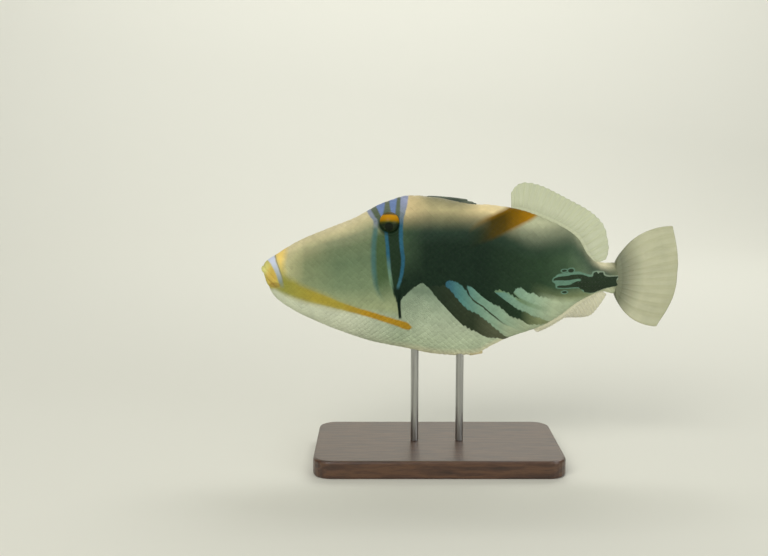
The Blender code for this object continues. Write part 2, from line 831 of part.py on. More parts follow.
def make_pectoral_fin(name, side):
    """A small rounded fan that trails along the flank and stands off behind."""
    upper, lower = (
        place(behind, above, side * (flank(behind, above) + PECTORAL_CLEARANCE))
        for behind, above in PECTORAL_ROOT
    )
    spread = math.radians(PECTORAL_SPREAD)
    backwards = Vector((math.cos(spread), side * math.sin(spread), 0))
    upwards = (upper - lower).normalized()
    top, low = PECTORAL_ANGLES

    def sheet(across, along):
        angle = math.radians(top + (low - top) * across)
        swell = math.sin(math.pi * min(across * PECTORAL_FULL_AT, 1.0))
        roundness = PECTORAL_SHORTEST + (1 - PECTORAL_SHORTEST) * swell
        reach = PECTORAL_LENGTH * MM * roundness * along
        way = backwards * math.cos(angle) + upwards * math.sin(angle)
        return upper.lerp(lower, across) + way * reach

    def thickness(across, along, on_ray):
        body = RAY * PECTORAL_RAY_SHARE if on_ray else MEMBRANE
        thinning = smooth_step((along - PECTORAL_THINS_FROM) / (1 - PECTORAL_THINS_FROM))
        return body + (TIP - body) * thinning

    return fin(name, PECTORAL_RAYS, PECTORAL_ROWS, sheet, thickness)


def make_pelvic_spine():
    """The rough knob of bone at the end of the pelvic keel."""
    (start_behind, start_above), (end_behind, end_above) = PELVIC_SPINE
    path = []
    radii = []
    for i in range(PELVIC_SPINE_STEPS + 1):
        t = i / PELVIC_SPINE_STEPS
        behind = start_behind + (end_behind - start_behind) * t
        path.append(place(behind, start_above + (end_above - start_above) * t))
        knob = 1 - PELVIC_SPINE_TAPER * t + PELVIC_SPINE_KNOBS * (i % 2)
        radii.append(PELVIC_SPINE_RADIUS * knob * MM)
    radii[-1] *= PELVIC_SPINE_TIP
    return tube("pelvic_spine", path, radii, PELVIC_SPINE_SIDES, "spine")


def make_base():
    """A flat plate with round corners and a small bevel on its edges."""
    long, wide, high = BASE_SIZE
    tool = bmesh.new()
    outline = []
    for quarter in range(4):
        x_sign = (1, -1, -1, 1)[quarter]
        y_sign = (1, 1, -1, -1)[quarter]
        for i in range(BASE_CORNER_STEPS + 1):
            turn = math.pi / 2 * (quarter + i / BASE_CORNER_STEPS)
            x = x_sign * (long / 2 - BASE_CORNER) + BASE_CORNER * math.cos(turn)
            y = y_sign * (wide / 2 - BASE_CORNER) + BASE_CORNER * math.sin(turn)
            outline.append((x + BASE_CENTRE_X, y))
    low = [tool.verts.new(Vector((x, y, 0)) * MM) for x, y in outline]
    top = [tool.verts.new(Vector((x, y, high)) * MM) for x, y in outline]
    count = len(outline)
    for k in range(count):
        after = (k + 1) % count
        tool.faces.new((low[k], low[after], top[after], top[k]))
    tool.faces.new(low[::-1])
    tool.faces.new(top)
    base = new_object("stand_base", tool, "stand_wood")
    bevel = base.modifiers.new("edge", "BEVEL")
    bevel.width = BASE_EDGE * MM
    bevel.segments = BASE_EDGE_SEGMENTS
    bevel.limit_method = "ANGLE"
    bevel.angle_limit = math.radians(BASE_EDGE_ANGLE)
    return base


def make_rod(name, behind):
    """A round rod whose top is shaped to the keel that it carries."""
    foot = place(behind, 0)
    foot.z = (BASE_SIZE[2] + GAP) * MM
    head = place(behind, belly_line(behind) + ROD_OVERRUN)
    rod = tube(name, [foot, head], [ROD_RADIUS * MM] * 2, ROD_SIDES, "stand_metal")
    body = trunk("room", behind - ROD_ROOM, behind + ROD_ROOM, GAP)
    return combine(rod, [body], "DIFFERENCE")


def make_materials():
    for name, (colour, roughness) in MATERIALS.items():
        material = bpy.data.materials.new(name)
        material.use_nodes = True
        shader = material.node_tree.nodes["Principled BSDF"]
        shader.inputs["Base Color"].default_value = (*colour, 1.0)
        shader.inputs["Roughness"].default_value = roughness
        shader.inputs["Metallic"].default_value = 1.0 if name in METALS else 0.0


def build():
    clear_scene()
    make_materials()
    make_head()
    make_torso()
    trunk("tail_stalk", TORSO_END + GAP / 2, STALK_END)
    for side, word in ((-1, "left"), (1, "right")):
        make_eye("eye_" + word, side)
        make_pectoral_fin("pectoral_fin_" + word, side)
    spines, room = make_spine_fin()
    combine(spines, [room], "DIFFERENCE")
    median_fin(
        "dorsal_fin", DORSAL_RAYS, DORSAL_BASE, back_line, 1,
        DORSAL_LENGTHS, DORSAL_SWEEP, DORSAL_LEAN,
    )
    median_fin(
        "anal_fin", ANAL_RAYS, ANAL_BASE, belly_line, -1,
        ANAL_LENGTHS, ANAL_SWEEP, ANAL_LEAN,
    )
    make_tail_fin()
    make_pelvic_spine()
    make_base()
    for name, behind in RODS:
        make_rod(name, behind)


build()
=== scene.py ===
# %% [markdown]
# A lagoon triggerfish, life-size, on a plain display stand.
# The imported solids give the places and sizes, and this script gives the looks.
# First comes the frame, because every piece is set by it.

import math
from functools import reduce
from itertools import product

import bpy
import numpy as np
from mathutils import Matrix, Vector


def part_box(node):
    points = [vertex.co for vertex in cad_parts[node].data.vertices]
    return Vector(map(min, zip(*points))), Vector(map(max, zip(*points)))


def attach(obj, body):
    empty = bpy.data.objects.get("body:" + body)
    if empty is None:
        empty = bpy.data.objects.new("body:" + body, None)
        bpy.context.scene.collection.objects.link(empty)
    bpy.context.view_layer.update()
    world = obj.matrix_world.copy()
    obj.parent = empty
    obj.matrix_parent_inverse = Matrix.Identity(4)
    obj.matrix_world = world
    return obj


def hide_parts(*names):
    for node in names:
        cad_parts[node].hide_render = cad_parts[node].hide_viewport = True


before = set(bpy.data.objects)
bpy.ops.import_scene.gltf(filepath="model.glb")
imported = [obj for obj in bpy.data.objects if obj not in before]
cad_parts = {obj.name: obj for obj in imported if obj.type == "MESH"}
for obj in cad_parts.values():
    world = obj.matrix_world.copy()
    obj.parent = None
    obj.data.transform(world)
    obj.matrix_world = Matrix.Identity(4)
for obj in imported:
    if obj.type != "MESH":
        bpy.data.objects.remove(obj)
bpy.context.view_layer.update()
MM = 0.001

# %% [markdown]
# The fish is laid out like a drawing of its side: millimetres behind the snout, and
# millimetres above the level line that runs through the mouth. A third number goes out
# towards its right flank. One function turns such places into the frame's metres.

# %% The fish's own ruler
TOTAL_LENGTH = 210.0
LEVEL_LINE = 95.0
LIPS_STAND_OUT = 0.5
BEHIND_AT_ORIGIN = TOTAL_LENGTH / 2 - LIPS_STAND_OUT


def to_world(behind, above, out):
    """Points in metres, from arrays or numbers in the fish's millimetres."""
    behind, above, out = np.broadcast_arrays(behind, above, out)
    return np.stack([behind - BEHIND_AT_ORIGIN, out, above + LEVEL_LINE], axis=-1) * MM


def smooth(value):
    """0 up to 0, 1 from 1 on, and an even swing between."""
    value = np.clip(value, 0, 1)
    return value * value * (3 - 2 * value)


# %% [markdown]
# A body outline needs few points if the curve between them behaves. This one follows
# Fritsch and Carlson's rule for slopes, so that it never overshoots its points. A rooted
# curve is smooth in the square root of the place, which rounds off the snout.

# %% Curves through a few points
class Profile:
    """A smooth curve through (place, value) points that never overshoots them."""

    def __init__(self, points, rooted=False):
        self.rooted = rooted
        self.places = self.warped([p[0] for p in points])
        self.values = np.array([p[1] for p in points], float)
        steps = np.diff(self.places)
        slopes = np.diff(self.values) / steps
        near = 2 * steps[1:] + steps[:-1]
        far = steps[1:] + 2 * steps[:-1]
        same_way = slopes[:-1] * slopes[1:] > 0
        safe = np.where(same_way, slopes[:-1], 1), np.where(same_way, slopes[1:], 1)
        inner = np.where(same_way, (near + far) / (near / safe[0] + far / safe[1]), 0)
        self.tangents = np.concatenate([slopes[:1], inner, slopes[-1:]])

    def warped(self, places):
        places = np.maximum(np.asarray(places, float), 0)
        return np.sqrt(places) if self.rooted else places

    def __call__(self, places):
        places = np.clip(self.warped(places), self.places[0], self.places[-1])
        i = np.clip(np.searchsorted(self.places, places, "right") - 1, 0, len(self.places) - 2)
        step = self.places[i + 1] - self.places[i]
        t = (places - self.places[i]) / step
        return (
            (2 * t**3 - 3 * t**2 + 1) * self.values[i]
            + (t**3 - 2 * t**2 + t) * step * self.tangents[i]
            + (3 * t**2 - 2 * t**3) * self.values[i + 1]
            + (t**3 - t**2) * step * self.tangents[i + 1]
        )


# %% [markdown]
# The trunk is described by five curves: its back, its belly, its half width, and how
# sharply each section closes towards the keel and towards the back. They repeat the
# solids' own curves, so the skin lies on the same surface, and they run on a little past
# the tail stalk, where the skin thins out over the roots of the tail rays.

# %% The trunk's outline and sections
back_line = Profile((
    (0, 2.8), (2.1, 7.2), (6.4, 10.1), (20.7, 18.4), (44.5, 28), (62.3, 36.8), (74.2, 40.1), (84, 39.9),
    (103, 36.8), (126, 33.9), (138.5, 30.1), (151.2, 24.2), (158.9, 18.6), (163.9, 10.4), (168, 7),
    (173, 6.2), (178, 6.4), (181.8, 4.2),
), rooted=True)
belly_line = Profile((
    (0, 2.8), (1.6, -0.8), (3.6, -6.6), (5.4, -10), (14.2, -16.9), (25.4, -22.7), (38, -27.9),
    (54.4, -33.5), (72.1, -37.2), (89.9, -40.7), (98.7, -41.2), (108, -40.3), (115, -36.8), (126, -31.4),
    (141.4, -26), (150.9, -20.3), (159.5, -13.6), (166, -10.2), (171.5, -8.2), (178, -9.4), (181.8, -7.6),
), rooted=True)
half_width = Profile((
    (0, 0.6), (2, 3.6), (6, 5.2), (20, 8.4), (45, 12), (65, 14.2), (85, 15.2), (105, 14.4), (125, 12),
    (145, 8.8), (158, 6.2), (168, 4.4), (178, 2.3), (180.4, 1.3), (181.8, 0.4),
), rooted=True)
keel_sharpness = Profile(((0, 1), (30, 1), (70, 1.15), (105, 1.45), (130, 1.2), (178, 1)))
back_sharpness = Profile(((0, 1), (60, 0.96), (85, 1.05), (130, 1.15), (178, 1)))
NOSE_START = 0.05
SKIN_END = 181.6

left_eye_low, left_eye_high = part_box("eye_left")
EYE_CENTRE = (left_eye_low + left_eye_high) / 2
EYE_RADIUS = (left_eye_high.z - left_eye_low.z) / 2 / MM
EYE_BEHIND = EYE_CENTRE.x / MM + BEHIND_AT_ORIGIN
EYE_ABOVE = EYE_CENTRE.z / MM - LEVEL_LINE
ORBIT_BULGE = 1.1
ORBIT_BULGE_REACH = 7.0


def middle_and_depth(behind):
    """The height of the section's middle, and half its depth."""
    top, bottom = back_line(behind), belly_line(behind)
    return (top + bottom) / 2, (top - bottom) / 2


def sharpness(behind, upwards):
    return np.where(upwards > 0, back_sharpness(behind), keel_sharpness(behind))


def flank(behind, above):
    """Half the trunk's width at that height."""
    middle, depth = middle_and_depth(behind)
    reach = (above - middle) / depth
    return half_width(behind) * np.maximum(1 - reach**2, 0) ** (sharpness(behind, reach) / 2)


def eye_distance(behind, above):
    return np.hypot(behind - EYE_BEHIND, above - EYE_ABOVE)


def trunk_point(behind, turn):
    """(behind, above, out) on the trunk. turn runs from 0 at the back down the right side."""
    middle, depth = middle_and_depth(behind)
    above = middle + depth * np.cos(turn)
    side = np.abs(np.sin(turn)) ** sharpness(behind, np.cos(turn))
    bulge = ORBIT_BULGE * np.exp(-((eye_distance(behind, above) / ORBIT_BULGE_REACH) ** 2))
    out = (half_width(behind) * side + bulge * np.minimum(1, 2 * side)) * np.sign(np.sin(turn))
    return behind + 0 * turn, above, out


def trunk_normal(behind, turn):
    """The outward direction of the trunk's surface there."""
    step = 1e-3
    here = [np.stack(trunk_point(behind + d, turn), -1) for d in (step, -step)]
    there = [np.stack(trunk_point(behind, turn + d), -1) for d in (step, -step)]
    along, around = here[0] - here[1], there[0] - there[1]
    normal = np.cross(around, along)
    normal /= np.maximum(np.linalg.norm(normal, axis=-1, keepdims=True), 1e-12)
    _, above, out = trunk_point(behind, turn)
    outwards = normal[..., 1] * (above - middle_and_depth(behind)[0]) + normal[..., 2] * out
    return normal * np.where(outwards < 0, -1, 1)[..., None]


print("eye at", round(EYE_BEHIND, 1), round(EYE_ABOVE, 1), "mm, radius", round(EYE_RADIUS, 2))

# %% [markdown]
# The camera comes early, because the markings are read through it. The photograph looks
# at the left flank from a little above. Its scale gives the camera's distance, and the
# place of the level line in the picture gives what it points at.

# %% The camera
PHOTO_WIDE, PHOTO_HIGH = 768, 556
MM_PER_PIXEL = 0.505  # at the fish's middle plane
LEVEL_LINE_ROW = 275.0
ORIGIN_COLUMN = 469.5
ELEVATION = math.radians(8)
LENS, SENSOR = 50, 36.0

pixels_away = LENS / SENSOR * PHOTO_WIDE
aim = np.array([
    (PHOTO_WIDE / 2 - ORIGIN_COLUMN) * MM_PER_PIXEL,
    0,
    LEVEL_LINE + (LEVEL_LINE_ROW - PHOTO_HIGH / 2) * MM_PER_PIXEL / math.cos(ELEVATION),
])
look_along = np.array([0, math.cos(ELEVATION), -math.sin(ELEVATION)])
look_up = np.array([0, math.sin(ELEVATION), math.cos(ELEVATION)])
eye_point = aim - look_along * pixels_away * MM_PER_PIXEL

lens = bpy.data.cameras.new("camera")
lens.lens, lens.sensor_width = LENS, SENSOR
lens.clip_start, lens.clip_end = 0.01, 20.0
camera = bpy.data.objects.new("camera", lens)
camera.location = Vector(eye_point) * MM
camera.rotation_mode = "QUATERNION"
camera.rotation_quaternion = Vector(look_along).to_track_quat("-Z", "Y")
bpy.context.scene.collection.objects.link(camera)
bpy.context.scene.camera = camera


def on_flank(*spots):
    """(behind, above) on the left flank of what the photograph shows at these pixels."""
    places = []
    for column, row in spots:
        ray = look_along * pixels_away + look_up * (PHOTO_HIGH / 2 - row)
        ray[0] += column - PHOTO_WIDE / 2
        out = -10.0
        for _ in range(12):
            hit = eye_point + ray * (out - eye_point[1]) / ray[1]
            behind, above = hit[0] + BEHIND_AT_ORIGIN, hit[2] - LEVEL_LINE
            out = 0.5 * out - 0.5 * float(flank(np.array(behind), np.array(above)))
        places.append((behind, above))
    return places


print("the camera stands", round(eye_point[2]), "mm above the floor")
print("the eye is seen at", [round(v, 1) for v in on_flank((390, 222))[0]])

# %% [markdown]
# Skin relief is a height in millimetres above the smooth trunk, worked out for any place
# on it: the lips with the mouth's groove, the nostrils, the folds round the eye, the slit
# of the gill, the pleats of the keel and the groove that takes the folded spines.
# Displacing one dense mesh keeps the skin a single closed surface, where separate lumps
# would show seams.

# %% The relief of the skin
MOUTH_FRONT = np.array([0.9, 0.9])
MOUTH_CORNER = np.array([7.3, -5.9])
MOUTH_LENGTH = np.linalg.norm(MOUTH_CORNER - MOUTH_FRONT)
MOUTH_WAY = (MOUTH_CORNER - MOUTH_FRONT) / MOUTH_LENGTH
LIP_OFFSET, LIP_HALF_HEIGHT = 1.3, 1.15
MOUTH_GROOVE = 0.75
RIM_RADIUS, RIM_HEIGHT = 5.35, 0.6
NOSTRILS = ((57.1, 28), (58.1, 30.2))
GILL_SLIT = on_flank((399, 297), (399.6, 308), (400.6, 319))
gill_line = Profile([(-above, behind) for behind, above in GILL_SLIT])
SPINE_GROOVE = (81, 111.5)


def bump_at(distance, width):
    return np.exp(-((distance / width) ** 2))


def from_mouth(behind, above):
    """Millimetres along the mouth line and beside it."""
    from_front = np.stack([behind - MOUTH_FRONT[0], above - MOUTH_FRONT[1]], -1)
    return from_front @ MOUTH_WAY, from_front @ np.array([-MOUTH_WAY[1], MOUTH_WAY[0]])


def mouth_relief(behind, above):
    """Two lips with the mouth's groove between them, which die out at its corner."""
    along, beside = from_mouth(behind, above)
    along = along / MOUTH_LENGTH
    fades = 1 - smooth((along - 0.55) / 0.55)
    reach = 1 - ((np.abs(beside) - LIP_OFFSET) / LIP_HALF_HEIGHT) ** 2
    lips = LIPS_STAND_OUT * np.maximum(reach, 0) ** 0.7
    wrinkles = 0.05 * np.sin(along * 38) * np.maximum(reach, 0)
    groove = -MOUTH_GROOVE * bump_at(beside, 0.24)
    crease = -0.25 * bump_at(np.abs(beside) - 2.6, 0.4)
    return (lips + wrinkles + groove + crease) * fades


def eye_relief(behind, above):
    """A rim round the eye, which dips below the ball inside, and two faint folds outside."""
    distance = eye_distance(behind, above)
    rim = RIM_HEIGHT * bump_at(distance - RIM_RADIUS, 0.55)
    inside = -1.6 * smooth((RIM_RADIUS - 0.35 - distance) / 1.1)
    folds = 0.16 * bump_at(distance - 6.7, 0.35) - 0.2 * bump_at(distance - 6.15, 0.28)
    return rim + inside + folds


def nostril_distances(behind, above):
    return [np.hypot(behind - nostril[0], above - nostril[1]) for nostril in NOSTRILS]


def nostril_relief(behind, above):
    """Two small pits, each with a low ring round it."""
    total = 0 * behind
    for distance in nostril_distances(behind, above):
        total = total - 0.9 * bump_at(distance, 0.42) + 0.16 * bump_at(distance - 0.8, 0.3)
    return total


def gill_relief(behind, above):
    """A short slit with a low welt behind it."""
    across = behind - gill_line(-above)
    top, low = GILL_SLIT[0][1], GILL_SLIT[-1][1]
    within = smooth((top - above) / 1.5 + 0.5) * smooth((above - low) / 1.5 + 0.5)
    slit = -0.95 * bump_at(across, 0.34) + 0.3 * bump_at(across - 1.1, 0.7)
    return slit * within


def back_relief(behind, above, out):
    """The groove along the back that the folded spines lie in."""
    start, end = SPINE_GROOVE
    within = smooth((behind - start) / 1.5) * smooth((end - behind) / 3)
    near_ridge = 1 - smooth((np.abs(out) - 1) / 0.9)
    high_up = smooth((above - 30) / 2)
    return -1.6 * within * near_ridge * high_up


def keel_relief(behind, above):
    """The pelvic flap's faint pleats, along the rear of the keel."""
    depth = above - belly_line(behind)
    near_keel = bump_at(depth, 5) * smooth((behind - 84) / 8) * smooth((118 - behind) / 6)
    return 0.12 * np.sin(behind * 2.6 + depth * 1.2) * near_keel


def relief(behind, above, out):
    """Height of the skin over the smooth trunk, in millimetres."""
    muscle = 0.10 * np.sin(behind * 0.21 + above * 0.13) * np.sin(above * 0.24 - behind * 0.05)
    total = muscle * smooth((behind - 12) / 10) * smooth((170 - behind) / 15)
    for part in (mouth_relief, eye_relief, nostril_relief, gill_relief, keel_relief):
        total = total + part(behind, above)
    return total + back_relief(behind, above, out)


def skin_point(behind, turn, lift=0):
    """(behind, above, out) on the finished skin, lifted by some millimetres."""
    place = trunk_point(behind, turn)
    height = relief(*place) + lift
    return np.stack(place, -1) + trunk_normal(behind, turn) * height[..., None]


# %% [markdown]
# The skin is one grid of quads wrapped round the trunk. Its lines lie close where there
# is fine form, at the snout and round the eyes, and wider over the plain flanks. Evenly
# fine lines all over would cost many times the faces and show nothing more.

# %% Build the skin
def spaced(stops):
    """Places from (start, step) pairs. Each step holds up to the next start."""
    found = []
    for (start, step), (end, _) in zip(stops, stops[1:]):
        count = max(1, round((end - start) / step))
        found += [start + (end - start) * i / count for i in range(count)]
    return np.array(found + [stops[-1][0]])


def mesh_object(name, points, faces, material=None):
    """A smooth shaded object from points in metres and lists of corners."""
    mesh = bpy.data.meshes.new(name)
    mesh.from_pydata(np.asarray(points, float).reshape(-1, 3).tolist(), [], faces)
    mesh.validate()
    made = bpy.data.objects.new(name, mesh)
    bpy.context.scene.collection.objects.link(made)
    if material:
        mesh.materials.append(material)
    mesh.shade_smooth()
    return made


def seat(made, slot, *nodes):
    """The piece rides on the one body and stands for these solids."""
    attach(made, "root")
    if nodes:
        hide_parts(*nodes)
    return made


def add_numbers(made, name, values):
    """One number at each point of a mesh, for its material to read."""
    store = made.data.attributes.new(name, "FLOAT", "POINT")
    store.data.foreach_set("value", np.asarray(values, np.float32).ravel())


def ring_faces(rings, sides):
    """Quads between closed rings of points, with a flat face at each end."""
    first, k = np.arange(rings - 1)[:, None] * sides, np.arange(sides)
    here, after = first + k, first + (k + 1) % sides
    quads = np.stack([here, after, after + sides, here + sides], -1).reshape(-1, 4)
    last = (rings - 1) * sides
    ends = [list(range(sides))[::-1], list(range(last, last + sides))]
    return quads.tolist() + ends


snout_stops = NOSE_START + 12 * np.linspace(0, 1, 56) ** 1.6
body_stops = spaced(((12.4, 0.8), (52, 0.42), (77, 0.9), (150, 0.7), (SKIN_END, 0.7)))
skin_stops = np.concatenate([snout_stops, body_stops])
half_turns = spaced(((0, 0.035), (0.38, 0.014), (1, 0.03), (2.6, 0.024), (math.pi, 0.03)))
skin_turns = np.concatenate([half_turns, 2 * math.pi - half_turns[1:-1][::-1]])
stops_grid, turns_grid = np.meshgrid(skin_stops, skin_turns, indexing="ij")
skin_places = skin_point(stops_grid, turns_grid)
skin_points = to_world(*np.moveaxis(skin_places, -1, 0))
skin = mesh_object("skin", skin_points, ring_faces(len(skin_stops), len(skin_turns)))
add_numbers(skin, "root_behind", skin_places[..., 0])
add_numbers(skin, "root_above", skin_places[..., 1])
print("skin quads:", len(skin.data.polygons))

# %% [markdown]
# A triggerfish wears a mosaic of stiff lozenge plates in slanting rows. Each plate is a
# small rounded lozenge whose rear edge stands a tenth of a millimetre proud. They are
# laid out on the skin's own unwrap: places along the body, and lengths round it from the
# middle of the flank. The lozenges shrink towards the snout and the tail.

# %% Unwrap the trunk
TABLE_TURNS = np.linspace(0, math.pi, 361)
TABLE_STOPS = np.linspace(NOSE_START, SKIN_END, 368)
grid_stops, grid_turns = np.meshgrid(TABLE_STOPS, TABLE_TURNS, indexing="ij")
grid_places = np.stack(trunk_point(grid_stops, grid_turns), -1)
grid_steps = np.linalg.norm(np.diff(grid_places, axis=1), axis=-1)
grid_girth = np.concatenate([np.zeros((len(TABLE_STOPS), 1)), np.cumsum(grid_steps, axis=1)], 1)
FLANK_COLUMN = len(TABLE_TURNS) // 2
grid_girth -= grid_girth[:, FLANK_COLUMN:FLANK_COLUMN + 1]
TOP_GIRTH = Profile(list(zip(TABLE_STOPS[::8], -grid_girth[::8, 0])))
LOW_GIRTH = Profile(list(zip(TABLE_STOPS[::8], grid_girth[::8, -1])))


def turn_at(behind, girth):
    """The turn on the right side that lies girth millimetres below the middle of the flank."""
    row = np.interp(behind, TABLE_STOPS, np.arange(len(TABLE_STOPS)))
    low_row = np.clip(row.astype(int), 0, len(TABLE_STOPS) - 2)
    share = row - low_row
    low, high = np.zeros(behind.shape), np.full(behind.shape, len(TABLE_TURNS) - 1)
    for _ in range(18):
        middle = (low + high) / 2
        column = np.clip(middle.astype(int), 0, len(TABLE_TURNS) - 2)
        part = middle - column
        left, right = (
            grid_girth[low_row, column + j] * (1 - share) + grid_girth[low_row + 1, column + j] * share
            for j in (0, 1)
        )
        too_low = left * (1 - part) + right * part < girth
        low, high = np.where(too_low, middle, low), np.where(too_low, high, middle)
    return (low + high) / 2 / (len(TABLE_TURNS) - 1) * math.pi


print("girth at the deepest section:", round(float(2 * (TOP_GIRTH(95) + LOW_GIRTH(95)))), "mm")

# %% Lay out the plates
plate_size = Profile(((0, 1.9), (20, 2.3), (50, 3), (80, 3.5), (130, 3.4), (165, 2.6), (182, 2.1)))
PLATES_START, PLATES_END = 10.5, 178.5
PLATE_SHARE = 0.97  # of the room that a lozenge has
PLATE_LIFT, PLATE_TILT = 0.045, 0.05
PLATE_OUTLINE = 12  # points round a lozenge
PLATE_SEED = 7
rng = np.random.default_rng(PLATE_SEED)

ladder_stops = np.linspace(NOSE_START, SKIN_END, 1200)
ladder = np.concatenate([[0], np.cumsum(np.diff(ladder_stops) / plate_size(ladder_stops[1:]))])


def lozenge(count):
    """Points round a lozenge with slightly rounded corners, half a unit to each corner."""
    angles = 2 * math.pi * np.arange(count) / count
    reach = 0.5 / (np.abs(np.cos(angles)) ** 1.12 + np.abs(np.sin(angles)) ** 1.12) ** (1 / 1.12)
    return np.stack([np.cos(angles) * reach, np.sin(angles) * reach], -1)


def plate_centres():
    """(behind, girth) of each plate on one flank."""
    found = []
    for i in range(int(2 * ladder[-1])):
        behind = np.interp(i / 2, ladder, ladder_stops)
        if not PLATES_START < behind < PLATES_END:
            continue
        size = plate_size(behind)
        highest = math.floor(float(TOP_GIRTH(behind)) / size)
        lowest = math.floor(float(LOW_GIRTH(behind)) / size)
        for j in range(-highest - 1, lowest + 2):
            girth = (j + (i % 2) / 2) * size
            if -TOP_GIRTH(behind) + 0.1 < girth < LOW_GIRTH(behind) - 0.1:
                found.append((behind, girth))
    return np.array(found)


def keeps_plate(behind, above, out):
    """Plates leave the lips, the eye's rim, the slit of the gill and the groove bare."""
    along, beside = from_mouth(behind, above)
    lips = (along < MOUTH_LENGTH + 1.5) & (np.abs(beside) < 3.4)
    eye = eye_distance(behind, above) < RIM_RADIUS + 1.2
    beside_slit = np.abs(behind - gill_line(-above)) < 1.2
    slit = beside_slit & (above < GILL_SLIT[0][1] + 1) & (above > GILL_SLIT[-1][1] - 1)
    groove = (np.abs(out) < 2.2) & (above > 30) & (behind > 80) & (behind < 112.5)
    nostril = np.min(nostril_distances(behind, above), axis=0) < 1.3
    return ~(lips | eye | slit | groove | nostril)


def build_plates(name, side):
    """The plates of one flank as one mesh, with the numbers that its material reads."""
    centres = plate_centres()
    centres = centres[keeps_plate(*trunk_point(centres[:, 0], turn_at(*centres.T)))]
    count = len(centres)
    mid_behind, mid_girth = centres[:, :1], centres[:, 1:]
    outline = lozenge(PLATE_OUTLINE)
    local = np.concatenate([outline * PLATE_SHARE, outline * 0.80, outline * 0.38, [[0, 0]]])
    lengthwise, roundwise = local.T
    height = np.repeat([-0.06, 1, 1.35, 1.45], [PLATE_OUTLINE] * 3 + [1])
    room = plate_size(mid_behind)
    size = np.minimum(room * (1 + 0.05 * rng.standard_normal((count, 1))), room * 1.02)
    behind = mid_behind + lengthwise * size
    girth = mid_girth + roundwise * size
    girth = np.clip(girth, -TOP_GIRTH(behind) + 0.04, LOW_GIRTH(behind) - 0.04)
    behind = np.clip(behind, NOSE_START, SKIN_END)
    turn = turn_at(behind, girth)
    tilt = PLATE_TILT * (1 + 2 * lengthwise) * (height > 0)
    lift = PLATE_LIFT * height * (0.85 + 0.3 * rng.random((count, 1))) + tilt
    full_turn = turn if side > 0 else 2 * math.pi - turn
    places = skin_point(behind, full_turn, lift)
    per_plate = len(local)
    ring = np.arange(PLATE_OUTLINE)
    after = (ring + 1) % PLATE_OUTLINE
    band = np.stack([ring, after, after + PLATE_OUTLINE, ring + PLATE_OUTLINE], -1)
    bands = np.concatenate([band, band + PLATE_OUTLINE])[:, ::side]
    fan = np.stack([ring, after, 0 * ring + PLATE_OUTLINE], -1)[:, ::side] + 2 * PLATE_OUTLINE
    shift = np.arange(count)[:, None, None] * per_plate
    faces = (bands + shift).reshape(-1, 4).tolist() + (fan + shift).reshape(-1, 3).tolist()
    made = mesh_object(name, to_world(*np.moveaxis(places, -1, 0)), faces)
    spread = np.ones((1, per_plate))
    add_numbers(made, "root_behind", places[:, -1:, 0] * spread)
    add_numbers(made, "root_above", places[:, -1:, 1] * spread)
    add_numbers(made, "tone", rng.random((count, 1)) * spread)
    spots = np.stack([
        mid_behind / 200 + lengthwise * 0.003,
        0.5 + side * (0.25 + mid_girth / 240) + roundwise * 0.003,
    ], -1).reshape(-1, 2)
    corners = np.zeros(len(made.data.loops), np.int32)
    made.data.loops.foreach_get("vertex_index", corners)
    layer = made.data.uv_layers.new(name="OFBake")
    layer.data.foreach_set("uv", spots[corners].astype(np.float32).ravel())
    print(name, "plates:", count, "faces:", len(faces))
    return made


plates = [build_plates("plates_left", -1), build_plates("plates_right", 1)]

# %% [markdown]
# Materials are written as sums. A small class wraps a socket, so that an expression such
# as `1 - mask` adds its own Math nodes. Every other node comes from one method that
# takes its type, its settings and its sockets.

# %% A socket that does sums
class Value:
    """A socket that carries a number, with Python's operators as Math nodes."""

    def __init__(self, finish, socket):
        self.finish = finish
        self.socket = socket

    def math(self, operation, *numbers, clamp=False):
        settings = {"operation": operation, "use_clamp": clamp}
        return self.finish.node("ShaderNodeMath", settings, dict(enumerate(numbers)))

    def sums(operation):
        """An operator between this number and another."""
        return lambda self, other: self.math(operation, self, other)

    __add__ = __radd__ = sums("ADD")
    __mul__ = __rmul__ = sums("MULTIPLY")
    __sub__, __truediv__, __pow__ = sums("SUBTRACT"), sums("DIVIDE"), sums("POWER")
    least, most = sums("MINIMUM"), sums("MAXIMUM")

    def __rsub__(self, other):
        return self.math("SUBTRACT", other, self)

    def __neg__(self):
        return self * -1

    def __abs__(self):
        return self.math("ABSOLUTE", self)

    def edge(self, soft):
        """0 well below zero, 1 well above it, and a ramp as wide as soft between."""
        return self.math("MULTIPLY_ADD", self, 1 / soft, 0.5, clamp=True)


